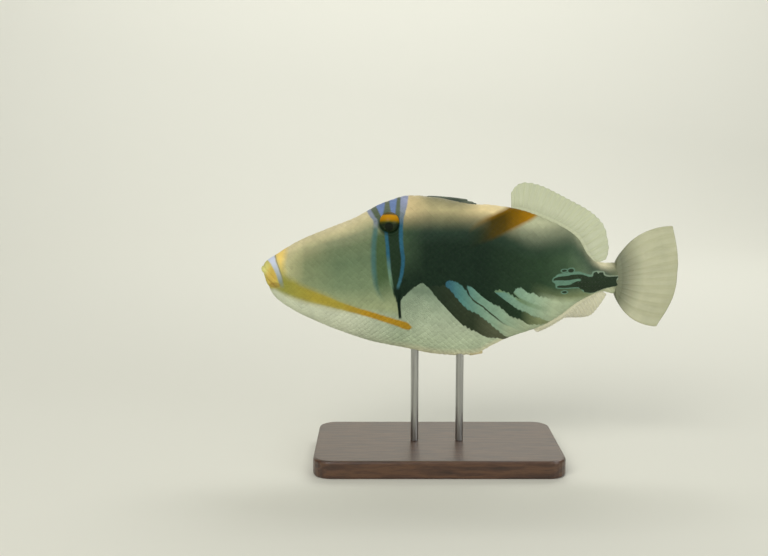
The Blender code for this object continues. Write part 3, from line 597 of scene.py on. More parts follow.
class Finish:
    """A material in the making."""

    def __init__(self, name, **constants):
        self.material = bpy.data.materials.new(name)
        self.material.use_nodes = True
        self.tree = self.material.node_tree
        self.shader = self.tree.nodes["Principled BSDF"]
        self.set(**constants)

    def node(self, kind, settings=None, sockets=None, out=0):
        """A new node: its settings first, then the values or links of its sockets."""
        made = self.tree.nodes.new(kind)
        for name, setting in (settings or {}).items():
            if name == "curve":
                self.set_curve(made.mapping, setting)
            elif name == "stops":
                self.set_stops(made.color_ramp, setting)
            else:
                setattr(made, name, setting)
        for name, value in (sockets or {}).items():
            self.feed(made.inputs[name], value)
        return Value(self, made.outputs[out])

    def feed(self, socket, value):
        if isinstance(value, Value):
            self.tree.links.new(value.socket, socket)
        elif hasattr(value, "__len__") and socket.type == "RGBA" and len(value) == 3:
            socket.default_value = (*value, 1)
        else:
            socket.default_value = value

    @staticmethod
    def set_curve(mapping, points):
        mapping.extend = "HORIZONTAL"
        curve = mapping.curves[0]
        for _ in range(len(points) - 2):
            curve.points.new(0.5, 0.5)
        for point, (x, y) in zip(curve.points, points):
            point.location = (x, y)
            point.handle_type = "AUTO_CLAMPED"
        mapping.update()

    @staticmethod
    def set_stops(ramp, stops):
        while len(ramp.elements) < len(stops):
            ramp.elements.new(0.5)
        for element, (position, colour) in zip(ramp.elements, stops):
            element.position = position
            element.color = (*colour, 1)

    def number(self, name):
        """A number that the mesh keeps at each of its points."""
        return self.node("ShaderNodeAttribute", {"attribute_name": name}, out=2)

    def noise(self, scale, detail=2, roughness=0.5, stretch=(1, 1, 1)):
        """Cloudy noise around zero, in metres of the object."""
        place = self.node("ShaderNodeTexCoord", out=3)
        place = self.node("ShaderNodeMapping", None, {"Vector": place, "Scale": stretch})
        sockets = {"Vector": place, "Scale": scale, "Detail": detail, "Roughness": roughness}
        return self.node("ShaderNodeTexNoise", None, sockets) - 0.5

    def mix(self, share, first, second, blend="MIX"):
        """first where share is 0 and second where it is 1, for colours."""
        settings = {"data_type": "RGBA", "blend_type": blend, "clamp_factor": True}
        return self.node("ShaderNodeMix", settings, {0: share, 6: first, 7: second}, out=2)

    def ramp(self, value, stops):
        return self.node("ShaderNodeValToRGB", {"stops": stops}, {"Fac": value})

    def bump(self, height, depth, strength):
        """Raises the surface where height is larger. depth is in metres."""
        sockets = {"Strength": strength, "Distance": depth, "Height": height}
        self.set(Normal=self.node("ShaderNodeBump", None, sockets))

    def set(self, **sockets):
        for name, value in sockets.items():
            self.feed(self.shader.inputs[name.replace("_", " ")], value)
        return self.material


def rgb(red, green, blue):
    """A colour from the numbers that an image editor shows, as linear light."""
    shares = [c / 255 for c in (red, green, blue)]
    return tuple(c / 12.92 if c <= 0.04045 else ((c + 0.055) / 1.055) ** 2.4 for c in shares)


# %% [markdown]
# The markings are what names this fish, so they are drawn as drawings, each between two
# curves. The edges are named by the pixels where the photograph shows them and carried
# to the flank through the camera. A near upright line gives a place behind the snout for
# each height, and a sloping one gives a height for each place. No picture is used, and
# the same curves serve both flanks, the skin and the plates.

# %% Read places in a material
OUTLINE_STOPS = (0, 2, 6, 13, 21, 32, 45, 62, 74, 84, 92, 103, 115, 126, 138, 151, 159, 164, 170, 178)
TOOTH_PITCH, TOOTH_HEIGHT = 2.1, 0.36  # of the saw edge that the plates give a marking
TEETH_FROM, TEETH_FULL = 80, 90.0  # behind the snout
PLAIN, SOFT, JAG = range(3)  # a smooth edge, one that drifts, and one that follows the plates


def fades(value, start, end):
    """1 up to start and 0 from end on."""
    return 1 - ((value - (start + end) / 2) / (end - start)).edge(1)


def share_at(column, row):
    """How far down the flank a pixel lies: 0 at the back and 1 at the belly."""
    behind, above = on_flank((column, row))[0]
    top, bottom = float(back_line(behind)), float(belly_line(behind))
    return min(max((top - above) / (top - bottom), 0), 1)


def behind_at(column):
    """Millimetres behind the snout of a column of pixels, on the middle of the flank."""
    return on_flank((column, 270))[0][0]


class SkinFinish(Finish):
    """A finish that knows where on the fish it is."""

    def __init__(self, name, jagged, **constants):
        super().__init__(name, **constants)
        place = self.node("ShaderNodeTexCoord", out=3)
        split = self.node("ShaderNodeSeparateXYZ", None, {0: place})
        self.behind = split * 1000 + BEHIND_AT_ORIGIN
        self.above = Value(self, split.socket.node.outputs[2]) * 1000 - LEVEL_LINE
        wobble = self.noise(420, 2) * 0.9
        sway = self.noise(55, 2) * 1.6
        tooth = self.behind / TOOTH_PITCH
        tooth = tooth.math("FRACT", tooth) - 0.5
        saw = abs(tooth) * 2 - 0.5
        self.behind = self.behind + wobble * 0.35
        self.above = self.above + wobble * 0.5
        top, bottom = (
            self.curve_value(self.behind, [(p, float(line(p))) for p in OUTLINE_STOPS])
            for line in (back_line, belly_line)
        )
        self.share = (top - self.above - sway * 0.5) / (top - bottom)
        self.soft_behind = self.behind + sway
        jag_behind = self.behind * (1 - jagged) + self.number("root_behind") * jagged
        jag_above = self.above * (1 - jagged) + self.number("root_above") * jagged
        toothed = 1 - fades(self.behind, TEETH_FROM, TEETH_FULL)
        ragged = self.noise(230, 3, 0.6) * 1.5
        jag_above = jag_above + (saw * TOOTH_HEIGHT + ragged) * toothed
        self.ways = {
            PLAIN: (self.behind, self.above), SOFT: (self.soft_behind, self.above + sway),
            JAG: (jag_behind, jag_above),
        }

    def curve_value(self, place, points):
        """The curve through (place, value) points, read at a place."""
        points = sorted(points)
        starts, ends = points[0][0], points[-1][0]
        low, high = min(p[1] for p in points), max(p[1] for p in points)
        span = max(high - low, 1e-6)
        shape = [((p[0] - starts) / (ends - starts), (p[1] - low) / span) for p in points]
        share = (place - starts) / (ends - starts)
        curve = self.node("ShaderNodeFloatCurve", {"curve": shape}, {"Factor": 1, "Value": share})
        return curve * span + low

    def over(self, *pixels, way=PLAIN):
        """Millimetres above a sloping line through these pixels."""
        behind, above = self.ways[way]
        return above - self.curve_value(behind, on_flank(*pixels))

    def past(self, *pixels, way=PLAIN):
        """Millimetres behind a near upright line through these pixels."""
        behind, above = self.ways[way]
        return behind - self.curve_value(above, [place[::-1] for place in on_flank(*pixels)])

    def until(self, first, last, way=SOFT):
        """1 up to the first column of pixels and 0 from the last one on."""
        return fades(self.ways[way][0], behind_at(first), behind_at(last))

    def since(self, first, last, way=SOFT):
        """0 up to the first column of pixels and 1 from the last one on."""
        return 1 - self.until(first, last, way)

    def along(self, *stops):
        """Colours that change from head to tail, from (column, colour) stops."""
        start, end = behind_at(stops[0][0]), behind_at(stops[-1][0])
        places = [((behind_at(column) - start) / (end - start), colour) for column, colour in stops]
        return self.ramp((self.soft_behind - start) / (end - start), places)

    def down(self, column, *stops):
        """Colours that change from back to belly, from (row, colour) stops in one column."""
        return self.ramp(self.share, [(share_at(column, row), colour) for row, colour in stops])

    def paint(self, mask, colour):
        """Lays a colour over what is painted so far, where the mask is 1."""
        self.colour = self.mix(mask, self.colour, colour)

    def spot(self, pixel, wide, high):
        """1 inside an oval round a pixel and 0 outside. wide and high are its pixels."""
        behind, above = on_flank(pixel)[0]
        across = (self.behind - behind) / (wide / 2 * MM_PER_PIXEL)
        up = (self.above - above) / (high / 2 * MM_PER_PIXEL)
        distance = (across * across + up * up) ** 0.5
        return (1 - distance).edge(0.35)


def between(low, high, soft):
    """1 above the first line and below the second."""
    return low.least(-high).edge(soft)


def stroke(line, half_width, soft):
    """1 on a line of that half width and 0 beside it."""
    return (half_width - abs(line)).edge(soft)


# %% The colours of the hide
BROW = rgb(220, 208, 168)
BROW_TAN = rgb(196, 188, 146)
BROW_OLIVE = rgb(132, 138, 106)
CHEEK_TOP = rgb(102, 116, 85)
CHEEK = rgb(97, 115, 85)
CHEEK_GREEN = rgb(116, 133, 100)
CHEEK_PALE = rgb(146, 156, 118)
SNOUT_OLIVE = rgb(152, 154, 112)
SNOUT_TAN = rgb(206, 200, 152)
THROAT = rgb(172, 184, 157)
CHIN = rgb(216, 218, 194)
BELLY = rgb(186, 200, 168)
KEEL_CREAM = rgb(236, 232, 196)
PECTORAL_SHADE = rgb(112, 130, 108)
GILL_PALE = rgb(148, 163, 138)
BACK_TAN = rgb(178, 168, 125)
BACK_GOLD = rgb(226, 207, 156)
BACK_NAPE = rgb(210, 190, 142)
BACK_REAR = rgb(180, 183, 150)
NIGHT = rgb(11, 31, 19)
NIGHT_EDGE = rgb(45, 64, 51)
NIGHT_NAPE = rgb(54, 74, 52)
REAR_DEEP = rgb(27, 47, 29)
REAR_GREEN = rgb(38, 60, 38)
REAR_OLIVE = rgb(58, 80, 56)
REAR_MOSS = rgb(86, 106, 80)
STALK_RIM_HIGHLIGHT = rgb(214, 208, 174)
STALK_GREY = rgb(116, 130, 106)
STALK_CREAM = rgb(190, 194, 160)
TAIL_ROOT_SHADE = rgb(104, 110, 84)
SPINE_SHADE = rgb(98, 102, 82)
STREAK_OLIVE = rgb(104, 128, 90)
LOW_OLIVE = rgb(130, 140, 100)
SPOT_BROWN = rgb(34, 40, 12)
SPOT_MUSTARD = rgb(80, 62, 2)
SPOT_ORANGE = rgb(168, 120, 10)
STRIPE_OLIVE = rgb(144, 143, 62)
STRIPE_YELLOW = rgb(164, 148, 52)
STRIPE_ORANGE = rgb(170, 130, 14)
LIP_HIGHLIGHT = rgb(218, 222, 150)
LIP_YELLOW = rgb(194, 184, 92)
LIP_SHADE = rgb(164, 156, 80)
LIP_ORANGE = rgb(198, 158, 70)
LIP_CORNER = rgb(128, 94, 34)
LILAC_WHITE = rgb(208, 216, 238)
LILAC_GREY = rgb(128, 140, 130)
SNOUT_YELLOW = rgb(240, 208, 112)
SNOUT_LINE = rgb(104, 104, 62)
HEAD_OLIVE = rgb(98, 109, 90)
HEAD_SHADE = rgb(80, 94, 70)
BAR_BLUE = rgb(112, 134, 178)
BAR_LILAC = rgb(148, 156, 182)
BAR_GREY = rgb(122, 132, 140)
EYE_BAND = rgb(26, 46, 27)
UNDER_EYE = rgb(50, 76, 40)
LINE_BLUE = rgb(38, 88, 110)
LINE_TEAL = rgb(64, 102, 98)
LINE_PALE = rgb(108, 138, 110)
STRIPE_BLUE = rgb(46, 92, 108)
STRIPE_TEAL = rgb(78, 124, 118)
STRIPE_GREEN = rgb(112, 146, 126)
STRIPE_MIST = rgb(138, 164, 138)
STRIPE_PALE = rgb(170, 183, 151)
BAND_BROWN = rgb(46, 56, 38)
BAND_FADED = rgb(92, 97, 73)
PATCH_BLACK = rgb(38, 52, 35)
PATCH_EDGE = rgb(98, 134, 114)
PATCH_PALE = rgb(136, 152, 130)


def belly_colours(f):
    """Pale green that turns to cream along the keel. The grey near its top and beside the gill is painted
    shade from the pectoral fin.
    """
    # the grey at the top of this ramp is painted shade from the pectoral fin
    pale = f.down(430, (292, PECTORAL_SHADE), (306, GILL_PALE), (326, THROAT), (344, BELLY))
    rim_hue = f.along((300, BELLY), (372, BELLY), (420, KEEL_CREAM), (480, KEEL_CREAM))
    pale = f.mix((f.share - share_at(430, 350)).edge(0.06), pale, rim_hue)
    # painted shade from the pectoral fin beside the gill
    return f.mix(f.until(402, 424) * 0.45 * (1 - f.share).edge(0.7), pale, PECTORAL_SHADE)


def head_colours(f):
    """Tan on the brow, olive on the cheek and pale below the yellow stripe. The light brow over the darker
    cheek is partly the fish's colour and partly painted light from above.
    """
    column = 355
    # partly painted light from above: the brow lighter, the cheek darker
    face = f.down(
        column, (217, BROW), (226, BROW_TAN), (235, BROW_OLIVE), (246, CHEEK_TOP), (262, CHEEK),
        (288, CHEEK_GREEN), (305, CHEEK_PALE),
    )
    face = f.mix(fades(f.soft_behind, 2, 38) * 0.8, face, SNOUT_OLIVE)
    by_snout = fades(f.soft_behind, 6, 22) * fades(f.share, 0.4, 0.75)
    face = f.mix(by_snout * 0.9, face, SNOUT_TAN)
    brow = f.down(column, (217, BROW), (233, BROW_TAN))
    face = f.mix(fades(f.share, 0.06, 0.3) * fades(f.soft_behind, 8, 34), face, brow)
    low = (f.share - share_at(column, 311)).edge(0.07)
    chin = f.mix(f.until(345, 399) * 0.62, belly_colours(f), CHIN)
    return f.mix(low, face, chin)


def body_colours(f):
    """The dark saddle under a tan back, which fades to olive towards the tail."""
    is_body = f.past(
        (403, 198), (401, 212), (400, 222), (399.8, 236), (400.6, 250), (401.6, 260), (400.8, 270),
        (398.8, 280), (396, 290),
    ).edge(0.8) * f.over((390, 302), (400, 302), (404, 320), (408, 380)).edge(1)
    # along the back; the stalk's pale top rim is partly its own colour and partly a painted highlight on
    # its top edge
    back = f.along(
        (406, BACK_NAPE), (432, BACK_TAN), (456, BACK_TAN), (482, BACK_GOLD),
        (500, BACK_GOLD), (522, BACK_REAR), (586, BACK_REAR), (600, STALK_RIM_HIGHLIGHT),
    )
    by_spines = fades(f.share, -0.01, 0.07) * f.until(462, 482) * f.since(418, 434)
    back = f.mix(by_spines * 0.75, back, SPINE_SHADE)
    under = -f.over(
        (398, 219), (430, 218.5), (480, 218), (493, 221), (505, 225), (516, 229), (526, 233), (540, 234),
        (552, 232.5), (565, 231), (578, 241), (588, 256), (596, 265), (606, 269.5), (620, 270), way=SOFT,
    )
    softness = f.curve_value(f.soft_behind, [
        (behind_at(480), 1), (behind_at(512), 1.1), (behind_at(546), 1.4), (behind_at(580), 1),
        (behind_at(598), 0.4),
    ])
    dark = f.along(
        (484, NIGHT), (514, REAR_DEEP), (543, REAR_GREEN), (566, REAR_OLIVE),
        (582, REAR_MOSS), (601, STALK_GREY),
    )
    dark = f.mix(fades(under, 3, 13) * 0.8, dark, NIGHT_EDGE)
    nape = f.until(404, 426) * ((f.above - 6) / 14).edge(1)
    dark = f.mix(nape, dark, NIGHT_NAPE)
    dark = f.mix(f.noise(700, 3).edge(0.6) * 0.16, dark, REAR_OLIVE)
    into_dark = 1 - ((under + 0.3) / softness - 2.07).edge(11)
    f.paint(is_body, f.mix(1 - into_dark * into_dark, back, dark))
    low = -f.over((528, 290), (545, 295), (560, 299), (576, 298), (600, 290), (615, 284), way=SOFT)
    low_hue = f.along((560, LOW_OLIVE), (588, LOW_OLIVE), (602, STALK_CREAM))
    f.paint((low + 2).edge(7) * f.since(530, 566), low_hue)
    # painted shade on the stalk at the fleshy root of the tail fin
    by_tail = f.since(605, 616) * f.over((600, 288), (625, 291)).edge(4)
    f.paint(by_tail * 0.85, TAIL_ROOT_SHADE)


def orange_patch(f):
    """The slanting orange patch below the soft dorsal fin, which sinks into the dark."""
    below = -f.over((464, 233), (480, 220.5), (495, 213.5), (505, 208.5), (522, 199), way=SOFT)
    over = f.over(
        (466, 252), (480, 244), (495, 238.5), (510, 231), (525, 223.5), (535, 217.5), (542, 212), way=SOFT,
    )
    hue = f.along((478, SPOT_BROWN), (505, SPOT_MUSTARD), (534, SPOT_ORANGE))
    hue = f.mix(fades(below, 0, 3) * 0.5, hue, SPOT_ORANGE)
    f.paint((below.least(over) - 0.2).edge(2.2) * f.since(468, 492), hue)


def glow(f, column):
    """A light stripe's colour, teal where it starts and misty green towards the keel."""
    return f.along(
        (column, STRIPE_TEAL), (column + 16, STRIPE_GREEN), (column + 38, STRIPE_MIST),
        (column + 62, STRIPE_PALE),
    )


def diagonal_stripes(f):
    """The pale wedge behind the gill and the light stripes that slant back from it."""
    wedge_top = (
        (392, 306), (399.8, 301.3), (404.2, 295.5), (410.6, 289.4), (416, 285.6), (422, 284), (428, 286.6),
        (434.2, 293.5), (441.2, 302), (448.9, 310.8), (457.8, 320.4), (469.9, 328.7), (482, 335),
        (501.7, 339), (520, 341),
    )
    is_wedge = (-f.over(*wedge_top, way=JAG)).edge(0.45)
    behind_gill = f.past((398, 290), (399, 306), (400, 322), (402, 350)).edge(0.5)
    f.paint(is_wedge * behind_gill, belly_colours(f))
    low_1 = f.over(
        (447, 286), (453.5, 293), (465, 306.3), (479.9, 316.6), (490.2, 324.7), (501.7, 333.4), (516, 343),
        way=JAG,
    )
    high_1 = f.over(
        (446, 281), (453, 280.6), (459, 284), (465, 290), (471.9, 298.6), (483.3, 308), (494.8, 316.2),
        (506.3, 323.6), (516, 328), (524, 332), way=JAG,
    )
    starts_1 = f.past((449, 300), (446.2, 284), (450, 276), way=JAG)
    stripe_1 = between(low_1, high_1, 0.45) * starts_1.edge(0.5)
    thin_line = f.over(
        (467.3, 289), (471.9, 298.3), (483.3, 306.9), (494.8, 316.6), (506.3, 324.7), (516, 329),
        (524, 333),
    )
    high_2 = f.over(
        (466, 285), (471, 287.6), (477.6, 292), (483.3, 296.6), (490.2, 301.4), (500.6, 307.2),
        (508.6, 314), (517.8, 319.6), (532, 325), way=JAG,
    )
    starts_2 = f.past((469, 300), (467.4, 289), (471, 280), way=JAG)
    stripe_2 = between(thin_line + 0.1, high_2, 0.45) * starts_2.edge(0.5)
    low_3 = f.over(
        (492, 290), (496, 293.6), (506.3, 300.6), (515.5, 307.4), (524.7, 312), (534, 316), (548, 321),
        way=JAG,
    )
    high_3 = f.over((494, 291), (500, 289.8), (506, 291.4), (513, 296), (519, 300), (530, 305), way=JAG)
    high_4 = f.over(
        (513, 289), (518, 288), (524.7, 291), (535, 294.8), (548, 298), (560, 300.4), (575, 301),
        (600, 294), way=JAG,
    )
    smooth_4 = f.over(
        (513, 289), (524.7, 291), (535, 294.8), (548, 298), (560, 300.4), (575, 301), (600, 294), way=SOFT,
    )
    low_4 = f.over(
        (508, 289.5), (514.6, 293), (519, 297.4), (525, 301.8), (532, 305.6), (544, 309), way=JAG,
    )
    starts_3 = f.past((497, 300), (494.8, 292), (498, 285), way=JAG)
    starts_4 = f.past((516, 300), (514.6, 290), (518, 283), way=JAG)
    stripe_3 = between(low_3, high_3, 0.45) * starts_3.edge(0.5)
    front_edge, soft_edge = (-high_4).edge(0.5), (0.6 - smooth_4).edge(3.6)
    upper_edge = front_edge + (soft_edge - front_edge) * f.since(536, 556, PLAIN)
    notch = between(high_3, low_4, 0.6) * f.until(518, 531, PLAIN)
    field = low_3.edge(0.6) * upper_edge * starts_4.edge(0.6) * (1 - notch)
    in_band = between(f.over(*wedge_top, way=JAG), low_1, 0.45) * f.since(424, 464, PLAIN)
    f.paint(in_band, f.mix(f.since(474, 498), BAND_BROWN, BAND_FADED))
    f.paint(between(high_2, low_3, 0.6) * f.since(522, 542, PLAIN), LOW_OLIVE)
    blue = f.along(
        (448, STRIPE_BLUE), (462, STRIPE_TEAL), (480, STRIPE_GREEN), (496, STRIPE_MIST),
        (512, STRIPE_PALE),
    )
    f.paint(stripe_1, blue)
    f.paint(stripe_2, glow(f, 466))
    line_there = f.past((466, 300), (467, 290), (470, 282)).edge(0.6) * f.until(496, 511, PLAIN)
    f.paint(stroke(thin_line + 0.15, 0.45, 0.3) * line_there, BAND_BROWN)
    streak = f.over((506, 290), (513, 294), (520, 300), (534, 306), (556, 311))
    streak = stroke(streak, 1.1, 0.9) * f.until(520, 552, PLAIN)
    light = field.most(stripe_3)
    f.paint(light, glow(f, 494))
    f.paint(light * streak * 0.9, STREAK_OLIVE)


def tail_patch(f):
    """The black bar on the tail stalk, with two prongs, two lobes and a pale edge."""
    top = (
        (552, 280.6), (556, 277.6), (560.7, 276.4), (567, 275.9), (573.7, 274.6), (580, 274.4),
        (585.7, 275.6), (590, 276.8), (592.6, 276.4), (593.6, 273.2), (596.6, 271.9), (598.4, 273.6),
        (600, 272.2), (602.6, 272.3), (604, 275), (607, 276.3), (612, 276.5), (618.4, 276.2),
    )
    low = (
        (554, 286.2), (560, 287.9), (568, 287.9), (577.6, 287.2), (580.2, 289), (583.4, 290.2),
        (584.8, 292.3), (591, 292.8), (597, 291.2), (604, 288.6), (611, 287), (616, 286), (619, 283.6),
    )
    gap_top = ((552, 281), (559, 280.3), (567, 280.4), (574, 279.4), (579.4, 278.8), (583, 281.4))
    gap_low = (
        (552, 287), (556, 286.6), (560, 285.4), (567, 285.2), (573.7, 282.8), (579, 281.2), (583, 281.4),
    )
    light_top = (
        (548, 281), (554, 276.6), (561, 273.6), (568, 272.4), (577, 271.6), (584, 273), (591, 274.4),
        (592.6, 271.8), (597, 270.8), (603.4, 271.2), (605.6, 274.2), (612, 275.4), (621, 275.2),
    )
    light_low = (
        (548, 286), (556, 288.4), (568, 288.8), (577, 288.2), (582, 290.6), (586, 292.8), (592, 293.2),
        (598, 291.4), (606, 288.4), (614, 286.8), (621, 284),
    )
    starts = f.past((560, 268), (553.4, 280.6), (555, 284), (556.5, 286), (560, 294))
    ends = f.past((618.2, 270), (618.4, 276), (616.4, 280.5), (617.6, 285.6), (617, 292))
    light_starts = f.past((561, 268), (556, 276), (552.2, 280.6), (555, 284), (555.6, 287), (560, 294))
    light_ends = f.past((619, 268), (619.4, 276), (612, 284), (607, 292))
    light = light_starts.least(-light_ends).edge(0.7)
    light = light * between(f.over(*light_low), f.over(*light_top), 0.6)
    dark = starts.least(-ends).edge(0.25) * between(f.over(*low), f.over(*top), 0.25)
    in_gap = (1 - (f.behind - 159.6).edge(1)) * between(f.over(*gap_low), f.over(*gap_top), 0.25)
    ovals = (((564.4, 270.7), 5.2, 2.4), ((571, 270.6), 6, 4), ((564.4, 292.2), 5.2, 2.2))
    dots, rings = (
        reduce(Value.most, [f.spot(spot, wide + more, high + more * 0.75) for spot, wide, high in ovals])
        for more in (0, 2.4)
    )
    edge = f.along((552, PATCH_EDGE), (588, PATCH_EDGE), (600, PATCH_PALE))
    f.paint(light.most(rings) * 0.9, edge)
    f.paint((dark * (1 - in_gap)).most(dots), PATCH_BLACK)


def yellow_stripe(f):
    """The band from the mouth to below the gill, olive-yellow in front and orange behind."""
    high = f.over(
        (274, 282), (285.7, 279.4), (302.2, 286.5), (325.8, 295.9), (349.4, 305.3), (373, 312.4),
        (396.6, 319.4), (404, 321.4), (408.4, 323.4), (411.4, 326.4),
    )
    low = f.over(
        (270, 284), (276, 288), (284.5, 293), (302.2, 300), (325.8, 306), (349.4, 311.8), (373, 318.4),
        (396.6, 326), (404, 329), (408.4, 329.8), (411.4, 327.6),
    )
    ends = -f.past((410.4, 318), (411.8, 327), (409.5, 333))
    inside = low.least(-high).least(ends)
    front = fades(f.behind, 12, 52)
    soft = inside.edge(0.9) + ((inside + 0.5).edge(3.8) - inside.edge(0.9)) * front
    hue = f.along(
        (284, STRIPE_OLIVE), (316, STRIPE_YELLOW), (340, STRIPE_YELLOW), (366, STRIPE_ORANGE),
        (404, STRIPE_ORANGE),
    )
    f.paint(soft * 0.96, hue)


def face_lines(f):
    """Blue lines and bars that pass over the head, beside a dark band through the eye."""
    line_1 = f.past(
        (368, 209), (372, 216), (376, 224), (375.2, 232), (374, 240), (373.4, 258), (374, 272),
        (376.4, 288), (384.6, 303), (394, 316),
    )
    line_2 = f.past((385.4, 228), (387, 244), (388.4, 261.7), (390.4, 279.4), (393, 292), (396, 305))
    line_3 = f.past(
        (404.5, 196), (402.8, 212), (401.2, 222), (401, 236), (402, 250), (403, 260.5), (402.2, 270),
        (400.2, 280), (397.6, 290), (396.8, 300),
    )
    bars = (
        ((374.2, 203), (377.2, 209), (381.4, 217.4)), ((385.4, 199), (384.4, 208), (382.6, 217.4)),
        ((388.8, 198), (389.8, 207), (391.4, 213)), ((397.4, 196), (396.2, 206), (395.4, 213)),
    )
    over_bars = f.over((360, 218), (405, 218)).edge(2.2)
    head_top = line_1.least(-line_3).edge(0.5)
    head_top = head_top * f.over((366, 228), (374, 227), (381, 224), (396, 222), (404, 222)).edge(3)
    high_up = ((f.above - 31) / 6).edge(1)
    f.paint(head_top, f.mix(high_up, HEAD_SHADE, HEAD_OLIVE))
    for front, rear in (bars[:2], bars[2:]):
        bar = f.past(*front).least(-f.past(*rear))
        f.paint((bar - 0.1).edge(0.8) * over_bars, BAR_BLUE)
    over_eye = f.over((360, 226), (405, 226)).edge(3)
    fade_1 = 1 - fades(f.above, -12, 4)
    upper_cheek = (-f.over((360, 231), (372, 233), (388, 233), (405, 234))).edge(3)
    below_tip = f.over((370, 300), (390, 288), (400, 284)).edge(14)
    between_lines = line_1.least(-line_2).edge(1) * upper_cheek * below_tip
    f.paint(between_lines * 0.78, UNDER_EYE)
    f.paint(stroke(line_1, 1.2, 1.3) * (1 - over_eye) * fade_1 * 0.85, LINE_TEAL)
    f.paint(stroke(line_1, 1.25, 1) * over_eye, f.mix(high_up, BAR_GREY, BAR_LILAC))
    above_tip = f.over((385, 297), (410, 297)).edge(3)
    band = line_2.least(-line_3).edge(0.5) * above_tip
    band = band * (-f.over((372, 227), (388, 230), (404, 222))).edge(2)
    from_eye = ((f.behind - EYE_BEHIND) ** 2 + (f.above - EYE_ABOVE) ** 2) ** 0.5
    hood = (5.9 - from_eye).edge(1.6) * (-f.over((376, 221), (390, 219), (402, 218))).edge(3)
    outline = (5.0 - from_eye).edge(0.7)
    f.paint(band.most(hood).most(outline), EYE_BAND)
    hue_2 = f.mix(((f.above - 6) / 12).edge(1), LINE_PALE, LINE_BLUE)
    in_line_2 = stroke(line_2 - 0.1, 0.8, 0.7) * upper_cheek * above_tip
    f.paint(in_line_2 * (1 - fades(f.above, -8, 2)), hue_2)
    width_3 = f.curve_value(
        f.above, [(-14, 0.5), (0, 0.75), (14, 0.9), (26, 0.95), (32, 1.3), (36, 1.7), (40, 1.9)]
    )
    hue_3 = f.ramp((f.above + 10) / 50, (
        (0, LINE_TEAL), (0.25, LINE_BLUE), (0.72, LINE_BLUE), (0.84, BAR_GREY), (0.94, BAR_LILAC),
    ))
    f.paint(stroke(line_3, width_3, 0.7) * above_tip, hue_3)
    gill = f.past((396.4, 286), (398.2, 296), (399.2, 308), (400.2, 319))
    gill_reach = (-f.over((390, 288), (410, 288))).edge(2) * f.over((390, 318.5), (410, 318.5)).edge(1)
    width_gill = f.curve_value(f.above, [(-21, 0.65), (-14, 0.8), (-9, 1.3), (-6, 1.8)])
    f.paint(stroke(gill, width_gill, 0.5) * gill_reach, NIGHT)


def snout_colours(f):
    """Yellow lips, and behind them a lilac ring, a dark line and a yellow band."""
    ring_front = f.past(
        (262, 255), (266, 259), (269.3, 262.3), (273.2, 268.5), (276, 275), (278.2, 281.5), (280.4, 288),
    )
    ring_rear = f.past((274, 253), (275.7, 261), (278.4, 268.5), (281, 276), (283.3, 284), (285, 290))
    lower = f.over((260, 287), (276, 287), (290, 288))
    band_rear = f.past((287, 247), (285.5, 256), (284, 264), (285, 272), (288, 280))
    band = ring_rear.least(-band_rear - 0.2).edge(3.4) * lower.edge(2)
    high_up = ((f.above - 4) / 9).edge(1)
    f.paint(band * 0.9, f.mix(high_up, STRIPE_OLIVE, SNOUT_YELLOW))
    line = stroke(ring_rear - 0.25, 0.42, 0.6)
    f.paint(line * f.over((260, 280), (295, 280)).edge(6) * 0.75, SNOUT_LINE)
    ring = ring_front.least(-ring_rear).edge(1) * f.over((265, 285), (290, 285)).edge(4)
    f.paint(ring, f.mix(((f.above - 3) / 11).edge(1), LILAC_GREY, LILAC_WHITE))
    lips = (-ring_front).edge(0.9) * f.over((255, 285), (268, 288), (276, 287.5), (284, 286)).edge(1.8)
    lip_hue = f.mix(f.noise(300, 2).edge(0.5) * 0.35, LIP_YELLOW, LIP_ORANGE)
    lip_hue = f.mix((0.5 * f.spot((271.5, 276), 12, 18)).most(0), lip_hue, LIP_ORANGE)
    lip_hue = f.mix(fades(f.above, -8, 0) * 0.7, lip_hue, LIP_SHADE)
    # painted highlight along the front of the upper lip
    front = fades(f.behind, 0.2, 5) * ((f.above - 0.5) / 4).edge(1)
    lip_hue = f.mix(front * 0.7, lip_hue, LIP_HIGHLIGHT)
    f.paint(lips, lip_hue)
    f.paint(f.spot((275, 285), 11, 5.5) * 0.5, LIP_CORNER)


def paint_hide(name, jagged):
    """The whole hide, worn by the skin and, edge by edge, by its plates."""
    f = SkinFinish(name, jagged, Roughness=0.5, Specular_IOR_Level=0.12)
    f.colour = head_colours(f)
    for marking in (
        body_colours, diagonal_stripes, orange_patch, yellow_stripe, face_lines, snout_colours, tail_patch,
    ):
        marking(f)
    clouds = f.noise(160, 4, 0.6)
    shade = f.ramp(clouds + 0.5, ((0.3, (0.90,) * 3), (0.7, (1.06,) * 3)))
    colour = f.mix(1, f.colour, shade, "MULTIPLY")
    grain = f.noise(2600, 2, 0.6)
    f.bump(grain, 0.00012, 0.35)
    f.set(Base_Color=colour, Roughness=0.46 + grain * 0.12)
    return f


hide = paint_hide("hide", 0)
plate_hide = paint_hide("plate_hide", 0.35)
tone = plate_hide.number("tone") - 0.5
plate_base = plate_hide.shader.inputs["Base Color"].links[0].from_socket
toned = plate_hide.node(
    "ShaderNodeHueSaturation", None, {"Color": Value(plate_hide, plate_base), "Value": 1 + tone * 0.10}
)
plate_hide.set(Base_Color=toned)
skin.data.materials.append(hide.material)
for piece in plates:
    piece.data.materials.append(plate_hide.material)
print("hide nodes:", len(hide.tree.nodes))

# %% [markdown]
# The eye is a glossy ball that sits deep in its rim. Its upper half is golden and its
# lower half is dark olive, so the black band seems to run through it. The gold top is
# partly the eye's colour and partly painted light from above, and the dark lower half
# partly painted shade. The colours are worked out from the place on the ball, so both
# eyes share one way of painting.

# %% The eyes
GAZE = (-0.10, 0.955, -0.28)  # of the right eye
EYE_SIDES, EYE_RINGS = 64, 48
CORNEA_RISE, CORNEA_REACH = 0.03, 0.5
IRIS_REACH, PUPIL_REACH, LID_REACH = 0.50, 0.38, 0.84  # angles off the gaze


